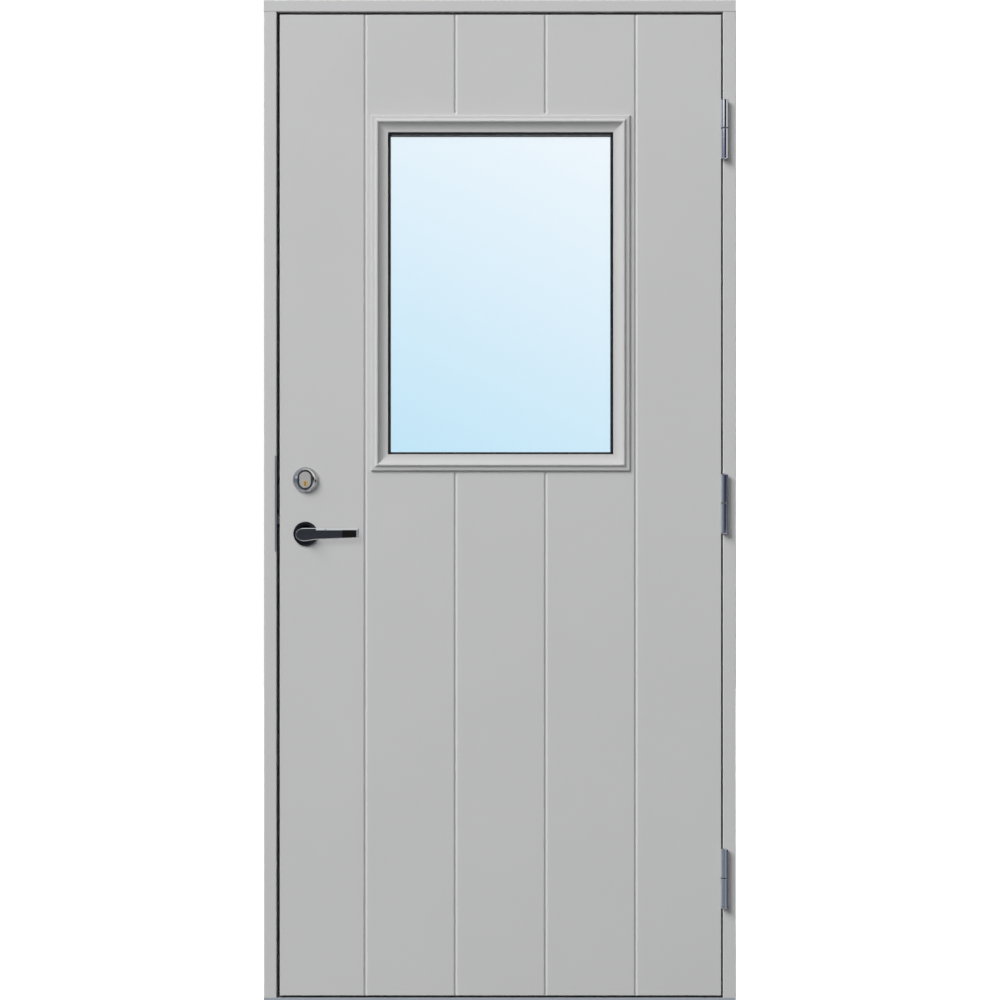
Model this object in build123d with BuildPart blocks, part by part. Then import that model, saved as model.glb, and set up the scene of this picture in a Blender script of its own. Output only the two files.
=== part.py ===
from build123d import *
import os

os.makedirs("parts", exist_ok=True)

# Exterior glass door with its frame, seen from outside: +X to the right, +Z up, -Y outwards.
# The origin is on the underside of the threshold, at mid width and mid depth of the frame.

# Frame section
frame_width = 985.0
frame_height = 2090.0
frame_depth = 105.0
jamb_face = 27.0
head_face = 25.0
stop_width = 15.0
arris_radius = 2.0
sill_height = 8.0

# Leaf and the gaps around it
leaf_thickness = 60.0
lock_gap = 6.6
hinge_gap = 3.4
top_gap = 6.0
bottom_gap = 4.5
seal_gap = 5.0
skin_thickness = 6.0
lock_stile_width = 100.0
hinge_stile_width = 60.0
top_rail_height = 80.0
bottom_rail_height = 90.0
leaf_arris = 1.2

# V-grooves in the outer skin
groove_pitch = 188.0
groove_width = 8.0
groove_depth = 3.0
groove_stop = 6.0

# Glazing
trim_width = 540.0
trim_height = 742.0
trim_top_drop = 241.0
trim_section = 35.0
trim_ridge = 10.5
trim_ridge_crown = 1.5
trim_ridge_run = 5.5
trim_slope_run = 10.0
trim_cove_sag = 2.4
trim_edge = 2.5
trim_edge_wall = 1.0
trim_hollow_inset = 1.0
trim_leg_clearance = 1.0
trim_lap = 17.0
trim_wall = 2.5
unit_edge = 27.0
pane_thickness = 4.0
pane_gap = 16.0
spacer_width = 11.0
spacer_inset = 0.5
glass_setback = 7.0
glazing_gasket = 2.0
gasket_cover = 2.0
gasket_lip = 4.4
gasket_lip_height = 1.8
gasket_lip_crown = 0.8
gasket_lip_edge = 0.3
boss_radius = 3.9
boss_length = 30.0
boss_offset = 22.5
boss_spread_x = 350.0
boss_spread_z = 500.0
boss_root = 1.0
block_length = 80.0
block_spread = 200.0
block_inset = 1.0

# Frame seals
seal_inset = 9.5
seal_bulb_width = 9.0
seal_bulb_height = 4.7
seal_wall = 1.1
seal_stem_width = 3.0
seal_stem_depth = 4.2
sill_seal_height = 12.0

# Threshold
upstand_height = 25.0
upstand_skin = 6.5
cap_thickness = 2.0
cap_return = 22.0

# Hinges: lift-off, with the frame half below
hinge_top_drop = 269.0
hinge_foot_height = 259.0
knuckle_radius = 7.5
knuckle_length = 58.0
knuckle_edge = 0.9
knuckle_stand_off = 9.0
knuckle_inset = 3.0
pin_radius = 4.5
pin_reach = 48.0
pin_foot = 50.0
pin_chamfer = 1.2
hinge_plate = 3.0
hinge_plate_depth = 46.0
hinge_arm = 2.8
hinge_arm_reach = 14.0
hinge_corner = 6.0
top_cap_height = 3.0
top_cap_rise = 2.2
foot_cap_radius = 8.3
foot_cap_height = 6.5
foot_cap_rise = 3.0
cap_spigot = 5.0
washer_thickness = 1.0
washer_radius = 7.8

# Lock case, its forend and its bolts
backset = 53.5
lever_z = 976.0
lever_to_cylinder = 105.0
lock_centre_rise = 63.0
case_depth = 78.0
case_thickness = 16.0
case_height = 190.0
case_sheet = 1.5
forend_width = 24.0
forend_height = 235.0
forend_thickness = 3.0
latch_rise = 30.0
latch_height = 20.0
latch_throw = 12.0
latch_body = 26.0
latch_nose_flat = 2.0
latch_bevel_end = 1.0
bolt_rise = 72.0
bolt_height = 34.0
bolt_body = 40.0
bolt_width = 12.0
bolt_throw = 20.0
tail_width = 8.0
tail_height = 8.0
bolt_tail_height = 14.0
fork_prong = 4.0
fork_play = 0.8
fork_drop = 10.0
follower_radius = 9.0
journal_radius = 8.0
journal_stand_out = 0.5
follower_arm = 23.0
follower_arm_width = 5.0
latch_lug_gap = 4.0
latch_lug_width = 6.0
latch_lug_drop = 12.0

# Lever handles and their roses
spindle_size = 8.0
spindle_hole_radius = 10.0
rose_radius = 25.25
rose_height = 8.0
disc_rim = 2.5
disc_crown_inset = 9.0
neck_radius = 10.0
neck_stand_off = 1.5
lever_projection = 58.0
lever_thickness = 12.0
lever_reach = 115.0
nose_length = 17.0
nose_half_height = 13.5
nose_drop = 1.0
neck_end = 25.5
lever_depth_at_neck = 24.0
lever_depth_at_end = 20.0
lever_corner = 3.0
top_bevel_height = 4.5
top_bevel_depth = 3.5
end_bevel = 6.0
end_bevel_depth = 3.0
lever_edge = 1.4
pinhole_reach = 45.0
pinhole_drop = 3.0
pinhole_radius = 1.2
pinhole_depth = 4.0
spindle_engagement = 30.0

# Lock cylinder, its ring, and the thumb turn inside
ring_radius = 26.6
ring_height = 12.5
ring_crown_radius = 14.5
ring_recess = 4.0
ring_recess_border = 3.6
cylinder_width = 24.0
cylinder_height = 34.0
cylinder_offset = 7.5
cylinder_setback = 1.5
cylinder_edge = 1.0
plug_radius = 6.25
plug_length = 28.0
plug_stand_out = 0.4
plug_end_gap = 0.3
plug_chamfer = 0.5
keyway_width = 1.6
keyway_height = 9.0
keyway_depth = 20.0
turn_plate_height = 9.0
turn_shaft_radius = 5.5
turn_hub_radius = 6.0
turn_arm = 14.14
turn_arm_width = 3.2
turn_tip_radius = 3.0
turn_knob_length = 34.0
turn_knob_width = 12.0
turn_knob_height = 17.0
turn_knob_edge = 2.5
turn_knob_gap = 0.6

# Strike plate
strike_height = 200.0
strike_thickness = 4.0
strike_depth = 46.0
strike_margin_y = 1.5
strike_margin_z = 3.0
mortise_depth = 15.0
mortise_margin_y = 2.0
mortise_margin_z = 4.0

# Screws: head radius, shank radius and length of each kind
hinge_screw_head = 4.4
hinge_screw_shank = 2.2
frame_hinge_screw_length = 21.0
leaf_hinge_screw_length = 40.0
frame_hinge_screw_inset = 10.0
leaf_hinge_screw_inset = 12.0
hinge_screw_spread = 24.0
hinge_screw_end = 12.0
strike_screw_head = 4.4
strike_screw_shank = 2.2
strike_screw_length = 20.0
strike_screw_end = 12.0
forend_screw_length = 30.0
forend_screw_end = 10.0
corner_screw_head = 5.5
corner_screw_shank = 3.0
head_screw_length = 85.0
sill_screw_length = 60.0
glazing_screw_head = 3.4
glazing_screw_head_height = 2.2
glazing_screw_shank = 1.8
glazing_screw_length = 41.0
glazing_screw_seat = 2.0
cylinder_screw_shank = 2.4
cylinder_screw_head = 4.4
cylinder_screw_spread = 13.0
cylinder_screw_grip = 8.0
fixing_radius = 7.0
fixing_setback = 7.0
fixing_foot = 150.0
fixing_top_drop = 140.0

# Clearances
running_clearance = 0.05
bearing_gap = 0.1
slide_clearance = 0.3
swing_clearance = 0.4
screw_clearance = 0.1
housing_clearance = 0.1
case_clearance = 0.5
case_play = 0.3
case_gap = 0.2
cylinder_cutout_gap = 0.5
turn_cutout_gap = 1.0
leaf_screw_gap = 0.6
case_screw_gap = 0.4

# How far a cut runs past the face that it opens
overcut = 1.0

# Planes and edges worked out from the sizes above
half_width = frame_width / 2
front = -frame_depth / 2
back = frame_depth / 2
rebate_x = half_width - jamb_face
stop_x = rebate_x - stop_width
rebate_top = frame_height - head_face
stop_top = rebate_top - stop_width
leaf_left = -rebate_x + lock_gap
leaf_right = rebate_x - hinge_gap
leaf_bottom = sill_height + bottom_gap
leaf_top = rebate_top - top_gap
leaf_back = front + leaf_thickness
leaf_centre_x = (leaf_left + leaf_right) / 2
leaf_centre_y = (front + leaf_back) / 2
core_front = front + skin_thickness
core_back = leaf_back - skin_thickness
stop_front = leaf_back + seal_gap
trim_centre_z = frame_height - trim_top_drop - trim_height / 2
fixing_y = leaf_centre_y + fixing_setback
fixing_top = frame_height - fixing_top_drop
fixing_quarter = (fixing_top - fixing_foot) / 4
fixing_rows = (fixing_foot, fixing_foot + fixing_quarter, fixing_top - fixing_quarter, fixing_top)
axis_x = leaf_left + backset
plug_z = lever_z + lever_to_cylinder
cylinder_z = plug_z + cylinder_offset
lock_centre_z = lever_z + lock_centre_rise
latch_z = lever_z + latch_rise
bolt_z = lever_z + bolt_rise
hinge_x = rebate_x + knuckle_inset
hinge_y = front - knuckle_stand_off
hinge_top_z = frame_height - hinge_top_drop
hinge_levels = {
    "top": hinge_top_z,
    "middle": (hinge_top_z + hinge_foot_height) / 2,
    "bottom": hinge_foot_height,
}
unit_thickness = 3 * pane_thickness + 2 * pane_gap
inner_glass_setback = leaf_thickness - glass_setback - unit_thickness
aperture_width = trim_width - 2 * trim_lap
aperture_height = trim_height - 2 * trim_lap
case_front_x = leaf_left + forend_thickness
case_back_x = case_front_x + case_depth
case_outside = leaf_centre_y - case_thickness / 2
case_inside = leaf_centre_y + case_thickness / 2

CENTRE = Align.CENTER


def facade(y):
    # A sketch plane parallel to the door, looking outwards.
    return Plane(origin=(0, y, 0), x_dir=(1, 0, 0), z_dir=(0, -1, 0))


def publish(piece, name):
    piece.part.label = name
    export_step(piece.part, f"parts/{name}.step")


def screws(seats, kind, grow=0.0, mode=Mode.ADD):
    # Countersunk screws: each head lies in its seat plane, its shank runs against the normal.
    head, shank, length = kind
    with Locations(*seats):
        Cone(shank + grow, head + grow, head - shank, align=(CENTRE, CENTRE, Align.MAX), mode=mode)
        Cylinder(shank + grow, length + grow, align=(CENTRE, CENTRE, Align.MAX), mode=mode)


def screw_holes(seats, kind):
    screws(seats, kind, screw_clearance, Mode.SUBTRACT)


def bore(seat, radius, depth, mode=Mode.SUBTRACT):
    # A round hole, or a round bar with Mode.ADD, that runs against the normal of its seat plane.
    with Locations(seat):
        Cylinder(radius, depth, align=(CENTRE, CENTRE, Align.MAX), mode=mode)


def cuboid(x, y, z, mode=Mode.SUBTRACT):
    # A rectangular cut, or block with Mode.ADD, between pairs of limits.
    with Locations(((x[0] + x[1]) / 2, (y[0] + y[1]) / 2, (z[0] + z[1]) / 2)):
        Box(x[1] - x[0], y[1] - y[0], z[1] - z[0], mode=mode)


# Screw kinds: head radius, shank radius, length
frame_hinge_screw = (hinge_screw_head, hinge_screw_shank, frame_hinge_screw_length)
leaf_hinge_screw = (hinge_screw_head, hinge_screw_shank, leaf_hinge_screw_length)
strike_screw = (strike_screw_head, strike_screw_shank, strike_screw_length)
forend_screw = (strike_screw_head, strike_screw_shank, forend_screw_length)
head_screw = (corner_screw_head, corner_screw_shank, head_screw_length)
sill_screw = (corner_screw_head, corner_screw_shank, sill_screw_length)
cylinder_screw_tip = case_outside - cylinder_screw_grip
cylinder_screw_length = leaf_back + turn_plate_height - cylinder_screw_tip
cylinder_screw = (cylinder_screw_head, cylinder_screw_shank, cylinder_screw_length)


# Where the screws sit
def hinge_screw_seats(x, y_near, z_low, z_high, facing):
    # Three screws in a triangle on a hinge plate.
    y_far = y_near + hinge_screw_spread
    y_mid = y_near + hinge_screw_spread / 2
    middle = (z_low + z_high) / 2
    spots = ((y_far, z_low + hinge_screw_end), (y_mid, middle), (y_far, z_high - hinge_screw_end))
    return [Plane(origin=(x, y, z), x_dir=(0, 0, 1), z_dir=(facing, 0, 0)) for y, z in spots]


frame_screw_seats = []
leaf_screw_seats = []
for level in hinge_levels.values():
    low = level - washer_thickness / 2 - knuckle_length
    high = level + washer_thickness / 2 + bearing_gap
    frame_row = front + frame_hinge_screw_inset
    leaf_row = core_front + leaf_hinge_screw_inset
    frame_screw_seats += hinge_screw_seats(rebate_x, frame_row, low, low + knuckle_length, -1)
    leaf_screw_seats += hinge_screw_seats(leaf_right, leaf_row, high, high + knuckle_length, 1)

strike_screw_reach = strike_height / 2 - strike_screw_end
forend_screw_reach = forend_height / 2 - forend_screw_end
strike_screw_seats = [
    Plane(
        origin=(-rebate_x, leaf_centre_y, lock_centre_z + side * strike_screw_reach),
        x_dir=(0, 0, 1),
        z_dir=(1, 0, 0),
    )
    for side in (-1, 1)
]
forend_screw_seats = [
    Plane(
        origin=(leaf_left, leaf_centre_y, lock_centre_z + side * forend_screw_reach),
        x_dir=(0, 0, 1),
        z_dir=(-1, 0, 0),
    )
    for side in (-1, 1)
]
corner_x = half_width - jamb_face / 2
corner_rows = (leaf_centre_y, (stop_front + back) / 2)
head_screw_seats = [
    Plane(origin=(side * corner_x, y, frame_height), z_dir=(0, 0, 1))
    for side in (-1, 1)
    for y in corner_rows
]
sill_screw_seats = [
    Plane(origin=(side * corner_x, y, 0), z_dir=(0, 0, -1)) for side in (-1, 1) for y in corner_rows
]
cylinder_screw_z = cylinder_z + cylinder_offset
cylinder_screw_seats = [
    Plane(
        origin=(axis_x + side * cylinder_screw_spread / 2, leaf_back + turn_plate_height, cylinder_screw_z),
        z_dir=(0, 1, 0),
    )
    for side in (-1, 1)
]


# Frame
def jamb(side, name):
    # A rebated jamb with rounded arrises and a kerf for its seal.
    kerf_x = side * (rebate_x - seal_inset)
    kerf_width = seal_stem_width + 2 * housing_clearance
    with BuildPart() as post:
        with BuildSketch(Plane.XY.offset(sill_height)) as section:
            with BuildLine():
                Polyline(
                    (side * half_width, front),
                    (side * rebate_x, front),
                    (side * rebate_x, stop_front),
                    (side * stop_x, stop_front),
                    (side * stop_x, back),
                    (side * half_width, back),
                    close=True,
                )
            make_face()
            outer_arrises = section.vertices().group_by(Axis.Y)[0]
            stop_arrises = [v for v in section.vertices() if abs(abs(v.X) - stop_x) < 0.01]
            fillet(outer_arrises + stop_arrises, arris_radius)
            with Locations((kerf_x, stop_front + seal_stem_depth / 2)):
                Rectangle(kerf_width, seal_stem_depth + 2 * housing_clearance, mode=Mode.SUBTRACT)
        extrude(amount=rebate_top - sill_height)
        for z in fixing_rows:
            through = Plane(origin=(side * half_width, fixing_y, z), z_dir=(side, 0, 0))
            bore(through, fixing_radius, jamb_face)
        screw_holes(head_screw_seats, head_screw)
        screw_holes(sill_screw_seats, sill_screw)
        if side < 0:
            strike_pocket()
        else:
            hinge_pockets()
    publish(post, name)


def strike_pocket():
    # Housing for the strike plate and the two mortises behind it.
    grow = housing_clearance
    cuboid(
        (-rebate_x - strike_thickness, -rebate_x + overcut),
        (front - overcut, front + strike_depth + grow),
        (lock_centre_z - strike_height / 2 - grow, lock_centre_z + strike_height / 2 + grow),
    )
    for z, height in ((latch_z, latch_height), (bolt_z, bolt_height)):
        cuboid(
            (-rebate_x - strike_thickness - mortise_depth, -rebate_x),
            (
                leaf_centre_y - bolt_width / 2 - mortise_margin_y,
                leaf_centre_y + bolt_width / 2 + mortise_margin_y,
            ),
            (z - height / 2 - mortise_margin_z, z + height / 2 + mortise_margin_z),
        )
    screw_holes(strike_screw_seats, strike_screw)


def hinge_plate_outline(y_near, y_far, z_low, z_high, grow=0.0):
    # Outline of a plate let into an edge, with its two inner corners rounded.
    with BuildSketch(Plane(origin=(0, 0, 0), x_dir=(0, 1, 0), z_dir=(1, 0, 0))) as outline:
        with Locations(((y_near + y_far + grow) / 2, (z_low + z_high) / 2)):
            Rectangle(y_far - y_near + grow, z_high - z_low + 2 * grow)
        fillet(outline.vertices().group_by(Axis.X)[-1], hinge_corner)
    return outline.sketch


def hinge_pockets():
    for level in hinge_levels.values():
        low = level - washer_thickness / 2 - knuckle_length
        high = level - washer_thickness / 2
        pocket = hinge_plate_outline(
            front - overcut, front + hinge_plate_depth, low, high, housing_clearance
        )
        extrude(pocket.moved(Location((rebate_x, 0, 0))), amount=hinge_plate, mode=Mode.SUBTRACT)
    screw_holes(frame_screw_seats, frame_hinge_screw)


jamb(-1, "jamb_lock_side")
jamb(1, "jamb_hinge_side")

with BuildPart() as frame_head:
    with BuildSketch(Plane.YZ) as section:
        with Locations((0, (rebate_top + frame_height) / 2)):
            Rectangle(frame_depth, head_face)
        fillet(section.vertices().group_by(Axis.X)[0], arris_radius)
    extrude(amount=half_width, both=True)
    with BuildSketch(Plane.YZ) as stop_section:
        with BuildLine():
            Polyline(
                (stop_front, rebate_top),
                (stop_front, stop_top),
                (back, stop_top),
                (back, rebate_top),
                close=True,
            )
        make_face()
        fillet(stop_section.vertices().group_by(Axis.Y)[0], arris_radius)
        with Locations((stop_front + seal_stem_depth / 2, rebate_top - seal_inset)):
            Rectangle(
                seal_stem_depth + 2 * housing_clearance,
                seal_stem_width + 2 * housing_clearance,
                mode=Mode.SUBTRACT,
            )
    extrude(amount=stop_x, both=True)
    screw_holes(head_screw_seats, head_screw)
publish(frame_head, "frame_head")

# Threshold: an aluminium cap over a hardwood core, with an upstand behind the leaf
upstand_top = sill_height + upstand_height
cap_back = stop_front + cap_return
sill_seal_z = sill_height + sill_seal_height

with BuildPart() as threshold_cap:
    with BuildSketch(Plane.YZ) as base:
        with BuildLine():
            Polyline(
                (front, 0),
                (front + cap_thickness, 0),
                (front + cap_thickness, sill_height - cap_thickness),
                (stop_front + upstand_skin, sill_height - cap_thickness),
                (stop_front + upstand_skin, sill_height),
                (front, sill_height),
                close=True,
            )
        make_face()
        fillet(base.vertices().group_by(Axis.X)[0].sort_by(Axis.Y)[-1], cap_thickness / 2)
    extrude(amount=half_width, both=True)
    with BuildSketch(Plane.YZ) as upstand:
        with BuildLine():
            Polyline(
                (stop_front, sill_height),
                (stop_front, upstand_top),
                (cap_back, upstand_top),
                (cap_back, upstand_top - cap_thickness),
                (stop_front + upstand_skin, upstand_top - cap_thickness),
                (stop_front + upstand_skin, sill_height),
                close=True,
            )
        make_face()
        nose = upstand.vertices().group_by(Axis.X)[0].sort_by(Axis.Y)[-1]
        fillet(nose, arris_radius)
        with Locations((stop_front + seal_stem_depth / 2, sill_seal_z)):
            Rectangle(
                seal_stem_depth + 2 * housing_clearance,
                seal_stem_width + 2 * housing_clearance,
                mode=Mode.SUBTRACT,
            )
    extrude(amount=stop_x, both=True)
    screw_holes(sill_screw_seats, sill_screw)
publish(threshold_cap, "threshold_cap")

with BuildPart() as threshold_core:
    with BuildSketch(Plane.YZ):
        with BuildLine():
            Polyline(
                (front + cap_thickness, 0),
                (back, 0),
                (back, sill_height),
                (stop_front + upstand_skin, sill_height),
                (stop_front + upstand_skin, sill_height - cap_thickness),
                (front + cap_thickness, sill_height - cap_thickness),
                close=True,
            )
        make_face()
    extrude(amount=half_width, both=True)
    with BuildSketch(Plane.YZ) as upstand:
        with BuildLine():
            Polyline(
                (stop_front + upstand_skin, sill_height),
                (stop_front + upstand_skin, upstand_top - cap_thickness),
                (cap_back, upstand_top - cap_thickness),
                (cap_back, upstand_top),
                (back, upstand_top),
                (back, sill_height),
                close=True,
            )
        make_face()
        fillet(upstand.vertices().group_by(Axis.X)[-1].sort_by(Axis.Y)[-1], 2 * arris_radius)
    extrude(amount=stop_x, both=True)
    screw_holes(sill_screw_seats, sill_screw)
publish(threshold_core, "threshold_core")

with BuildPart() as frame_corner_screws:
    screws(head_screw_seats, head_screw)
    screws(sill_screw_seats, sill_screw)
publish(frame_corner_screws, "frame_corner_screws")


# Seals: a hollow bulb on a stem that is pressed into its kerf
def seal(plane, length, name):
    # The plane lies across the strip: its x runs along the stop face, its y towards the leaf.
    with BuildPart() as strip:
        with BuildSketch(plane):
            with Locations((0, seal_bulb_height / 2)):
                Ellipse(seal_bulb_width / 2, seal_bulb_height / 2)
                Ellipse(
                    seal_bulb_width / 2 - seal_wall,
                    seal_bulb_height / 2 - seal_wall,
                    mode=Mode.SUBTRACT,
                )
            with Locations((0, (seal_wall / 2 - seal_stem_depth) / 2)):
                Rectangle(seal_stem_width, seal_stem_depth + seal_wall / 2)
        extrude(amount=length)
    publish(strip, name)


upright_seal_length = leaf_top - sill_height
for name, side in (("seal_lock_side", -1), ("seal_hinge_side", 1)):
    foot = (side * (rebate_x - seal_inset), stop_front, sill_height)
    seal(Plane(origin=foot, x_dir=(-1, 0, 0), z_dir=(0, 0, 1)), upright_seal_length, name)
across = 2 * (stop_x - housing_clearance)
for name, z in (("seal_head", rebate_top - seal_inset), ("seal_threshold", sill_seal_z)):
    start = (-across / 2, stop_front, z)
    seal(Plane(origin=start, x_dir=(0, 0, 1), z_dir=(1, 0, 0)), across, name)

# Strike plate
with BuildPart() as strike_plate:
    cuboid(
        (-rebate_x - strike_thickness, -rebate_x),
        (front, front + strike_depth),
        (lock_centre_z - strike_height / 2, lock_centre_z + strike_height / 2),
        Mode.ADD,
    )
    inner_corners = strike_plate.edges().filter_by(Axis.X).group_by(Axis.Y)[-1]
    fillet(inner_corners, hinge_corner)
    for z, height in ((latch_z, latch_height), (bolt_z, bolt_height)):
        cuboid(
            (-rebate_x - strike_thickness - overcut, -rebate_x + overcut),
            (
                leaf_centre_y - bolt_width / 2 - strike_margin_y,
                leaf_centre_y + bolt_width / 2 + strike_margin_y,
            ),
            (z - height / 2 - strike_margin_z, z + height / 2 + strike_margin_z),
        )
    screw_holes(strike_screw_seats, strike_screw)
publish(strike_plate, "strike_plate")

with BuildPart() as strike_screws:
    screws(strike_screw_seats, strike_screw)
publish(strike_screws, "strike_screws")


# Hinges
def frame_half(level, name):
    # Lower knuckle with the plate that is let into the jamb.
    low = level - washer_thickness / 2 - knuckle_length
    high = level - washer_thickness / 2
    with BuildPart() as half:
        with BuildSketch(Plane.XY.offset(low)):
            with Locations((hinge_x, hinge_y)):
                Circle(knuckle_radius)
        extrude(amount=knuckle_length)
        fillet(half.edges().filter_by(GeomType.CIRCLE), knuckle_edge)
        plate = hinge_plate_outline(hinge_y, front + hinge_plate_depth, low, high)
        extrude(plate.moved(Location((rebate_x, 0, 0))), amount=hinge_plate)
        bore(Plane(origin=(hinge_x, hinge_y, high)), pin_radius + running_clearance, knuckle_length)
        screw_holes(frame_screw_seats, frame_hinge_screw)
    publish(half, name)


def leaf_half(level, name):
    # Upper knuckle with a cranked arm in the gap and a plate that is let into the leaf's edge.
    low = level + washer_thickness / 2 + bearing_gap
    high = low + knuckle_length
    with BuildPart() as half:
        with BuildSketch(Plane.XY.offset(low)):
            with Locations((hinge_x, hinge_y)):
                Circle(knuckle_radius)
        extrude(amount=knuckle_length)
        fillet(half.edges().filter_by(GeomType.CIRCLE).sort_by(Axis.Z)[0], knuckle_edge)
        arm_x = (leaf_right, leaf_right + hinge_arm)
        cuboid(arm_x, (hinge_y, core_front + hinge_arm_reach), (low, high), Mode.ADD)
        plate = hinge_plate_outline(core_front, core_front + hinge_plate_depth, low, high)
        extrude(plate.moved(Location((leaf_right - hinge_plate, 0, 0))), amount=hinge_plate)
        bore(Plane(origin=(hinge_x, hinge_y, high)), pin_radius + running_clearance, knuckle_length)
        screw_holes(leaf_screw_seats, leaf_hinge_screw)
    publish(half, name)


for place, level in hinge_levels.items():
    frame_half(level, f"hinge_{place}_frame_half")
    leaf_half(level, f"hinge_{place}_leaf_half")

with BuildPart() as hinge_pins:
    for level in hinge_levels.values():
        with BuildSketch(Plane.XY.offset(level - pin_foot)):
            with Locations((hinge_x, hinge_y)):
                Circle(pin_radius)
        extrude(amount=pin_foot + pin_reach)
    rims = hinge_pins.edges().filter_by(GeomType.CIRCLE)
    chamfer(
        [rims.sort_by(Axis.Z)[end] for end in (1, 3, 5)],
        pin_chamfer,
    )
publish(hinge_pins, "hinge_pins")

with BuildPart() as hinge_washers:
    for level in hinge_levels.values():
        with BuildSketch(Plane.XY.offset(level - washer_thickness / 2)):
            with Locations((hinge_x, hinge_y)):
                Circle(washer_radius)
                Circle(pin_radius + running_clearance, mode=Mode.SUBTRACT)
        extrude(amount=washer_thickness)
publish(hinge_washers, "hinge_washers")


def end_caps(starts, direction, radius, height, rise, name):
    # Domed caps whose spigots stop the knuckle bores.
    spigot = pin_radius - running_clearance
    dome_radius = (radius**2 + rise**2) / (2 * rise)
    dome_middle = height - dome_radius + (dome_radius**2 - radius**2 / 4) ** 0.5
    with BuildPart() as caps:
        for start in starts:
            plane = Plane(origin=(hinge_x, hinge_y, start), x_dir=(1, 0, 0), z_dir=(0, -1, 0))
            with BuildSketch(plane):
                with BuildLine():
                    Polyline(
                        (0, direction * height),
                        (0, -direction * cap_spigot),
                        (spigot, -direction * cap_spigot),
                        (spigot, 0),
                        (radius, 0),
                        (radius, direction * (height - rise)),
                    )
                    ThreePointArc(
                        (radius, direction * (height - rise)),
                        (radius / 2, direction * dome_middle),
                        (0, direction * height),
                    )
                make_face()
            revolve(axis=Axis((hinge_x, hinge_y, start), (0, 0, 1)))
    publish(caps, name)


top_ends = [level + washer_thickness / 2 + bearing_gap + knuckle_length for level in hinge_levels.values()]
foot_ends = [level - washer_thickness / 2 - knuckle_length for level in hinge_levels.values()]
end_caps(top_ends, 1, knuckle_radius, top_cap_height, top_cap_rise, "hinge_top_caps")
end_caps(foot_ends, -1, foot_cap_radius, foot_cap_height, foot_cap_rise, "hinge_foot_caps")

with BuildPart() as hinge_frame_screws:
    screws(frame_screw_seats, frame_hinge_screw)
publish(hinge_frame_screws, "hinge_frame_screws")

with BuildPart() as hinge_leaf_screws:
    screws(leaf_screw_seats, leaf_hinge_screw)
publish(hinge_leaf_screws, "hinge_leaf_screws")


# Leaf: skins over stiles, rails and an insulating core
def cylinder_slot(gap):
    # Upright oval round the lock cylinder, with the gap given on every side.
    SlotOverall(cylinder_height + 2 * gap, cylinder_width + 2 * gap, rotation=90)


def through_leaf(y_from, y_to):
    # Holes for the spindle, and outside for the cylinder or inside for the turn and its screws.
    spindle_hole = Plane(origin=(axis_x, y_to, lever_z), z_dir=(0, 1, 0))
    turn_hole = Plane(origin=(axis_x, y_to, plug_z), z_dir=(0, 1, 0))
    bore(spindle_hole, spindle_hole_radius, y_to - y_from)
    with BuildSketch(facade(leaf_centre_y)) as opening:
        with Locations((axis_x, cylinder_z)):
            cylinder_slot(cylinder_cutout_gap)
    extrude(opening.sketch, amount=leaf_centre_y - y_from, mode=Mode.SUBTRACT)
    bore(turn_hole, turn_hub_radius + turn_cutout_gap, y_to - leaf_centre_y)
    for seat in cylinder_screw_seats:
        bore(seat, cylinder_screw_shank + leaf_screw_gap, leaf_back + turn_plate_height - leaf_centre_y)


with BuildPart() as leaf_outer_skin:
    with BuildSketch(facade(front)) as face:
        with Locations((leaf_centre_x, (leaf_bottom + leaf_top) / 2)):
            Rectangle(leaf_right - leaf_left, leaf_top - leaf_bottom)
    extrude(amount=-skin_thickness)
    fillet(leaf_outer_skin.edges().group_by(Axis.Y)[0], leaf_arris)
    trim_top = trim_centre_z + trim_height / 2
    trim_foot = trim_centre_z - trim_height / 2
    for column in (-1.5, -0.5, 0.5, 1.5):
        x = leaf_centre_x + column * groove_pitch
        foot = leaf_bottom - overcut
        head = leaf_top + overcut
        runs = [(foot, head)]
        if abs(column) < 1:
            runs = [(foot, trim_foot - groove_stop), (trim_top + groove_stop, head)]
        for z_low, z_high in runs:
            with BuildSketch(Plane.XY.offset(z_low)):
                with BuildLine():
                    Polyline(
                        (x - groove_width / 2, front),
                        (x, front + groove_depth),
                        (x + groove_width / 2, front),
                        close=True,
                    )
                make_face()
            extrude(amount=z_high - z_low, mode=Mode.SUBTRACT)
            for end in (z_low, z_high):
                if leaf_bottom < end < leaf_top:
                    with Locations(Plane(origin=(x, front, end), z_dir=(0, 1, 0))):
                        Cone(
                            groove_width / 2,
                            0,
                            groove_depth,
                            align=(CENTRE, CENTRE, Align.MIN),
                            mode=Mode.SUBTRACT,
                        )
    with BuildSketch(facade(front)):
        with Locations((leaf_centre_x, trim_centre_z)):
            Rectangle(aperture_width, aperture_height)
        with Locations((axis_x, lever_z)):
            Circle(spindle_hole_radius)
        with Locations((axis_x, cylinder_z)):
            cylinder_slot(cylinder_cutout_gap)
    extrude(amount=-skin_thickness, mode=Mode.SUBTRACT)
publish(leaf_outer_skin, "leaf_outer_skin")

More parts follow.
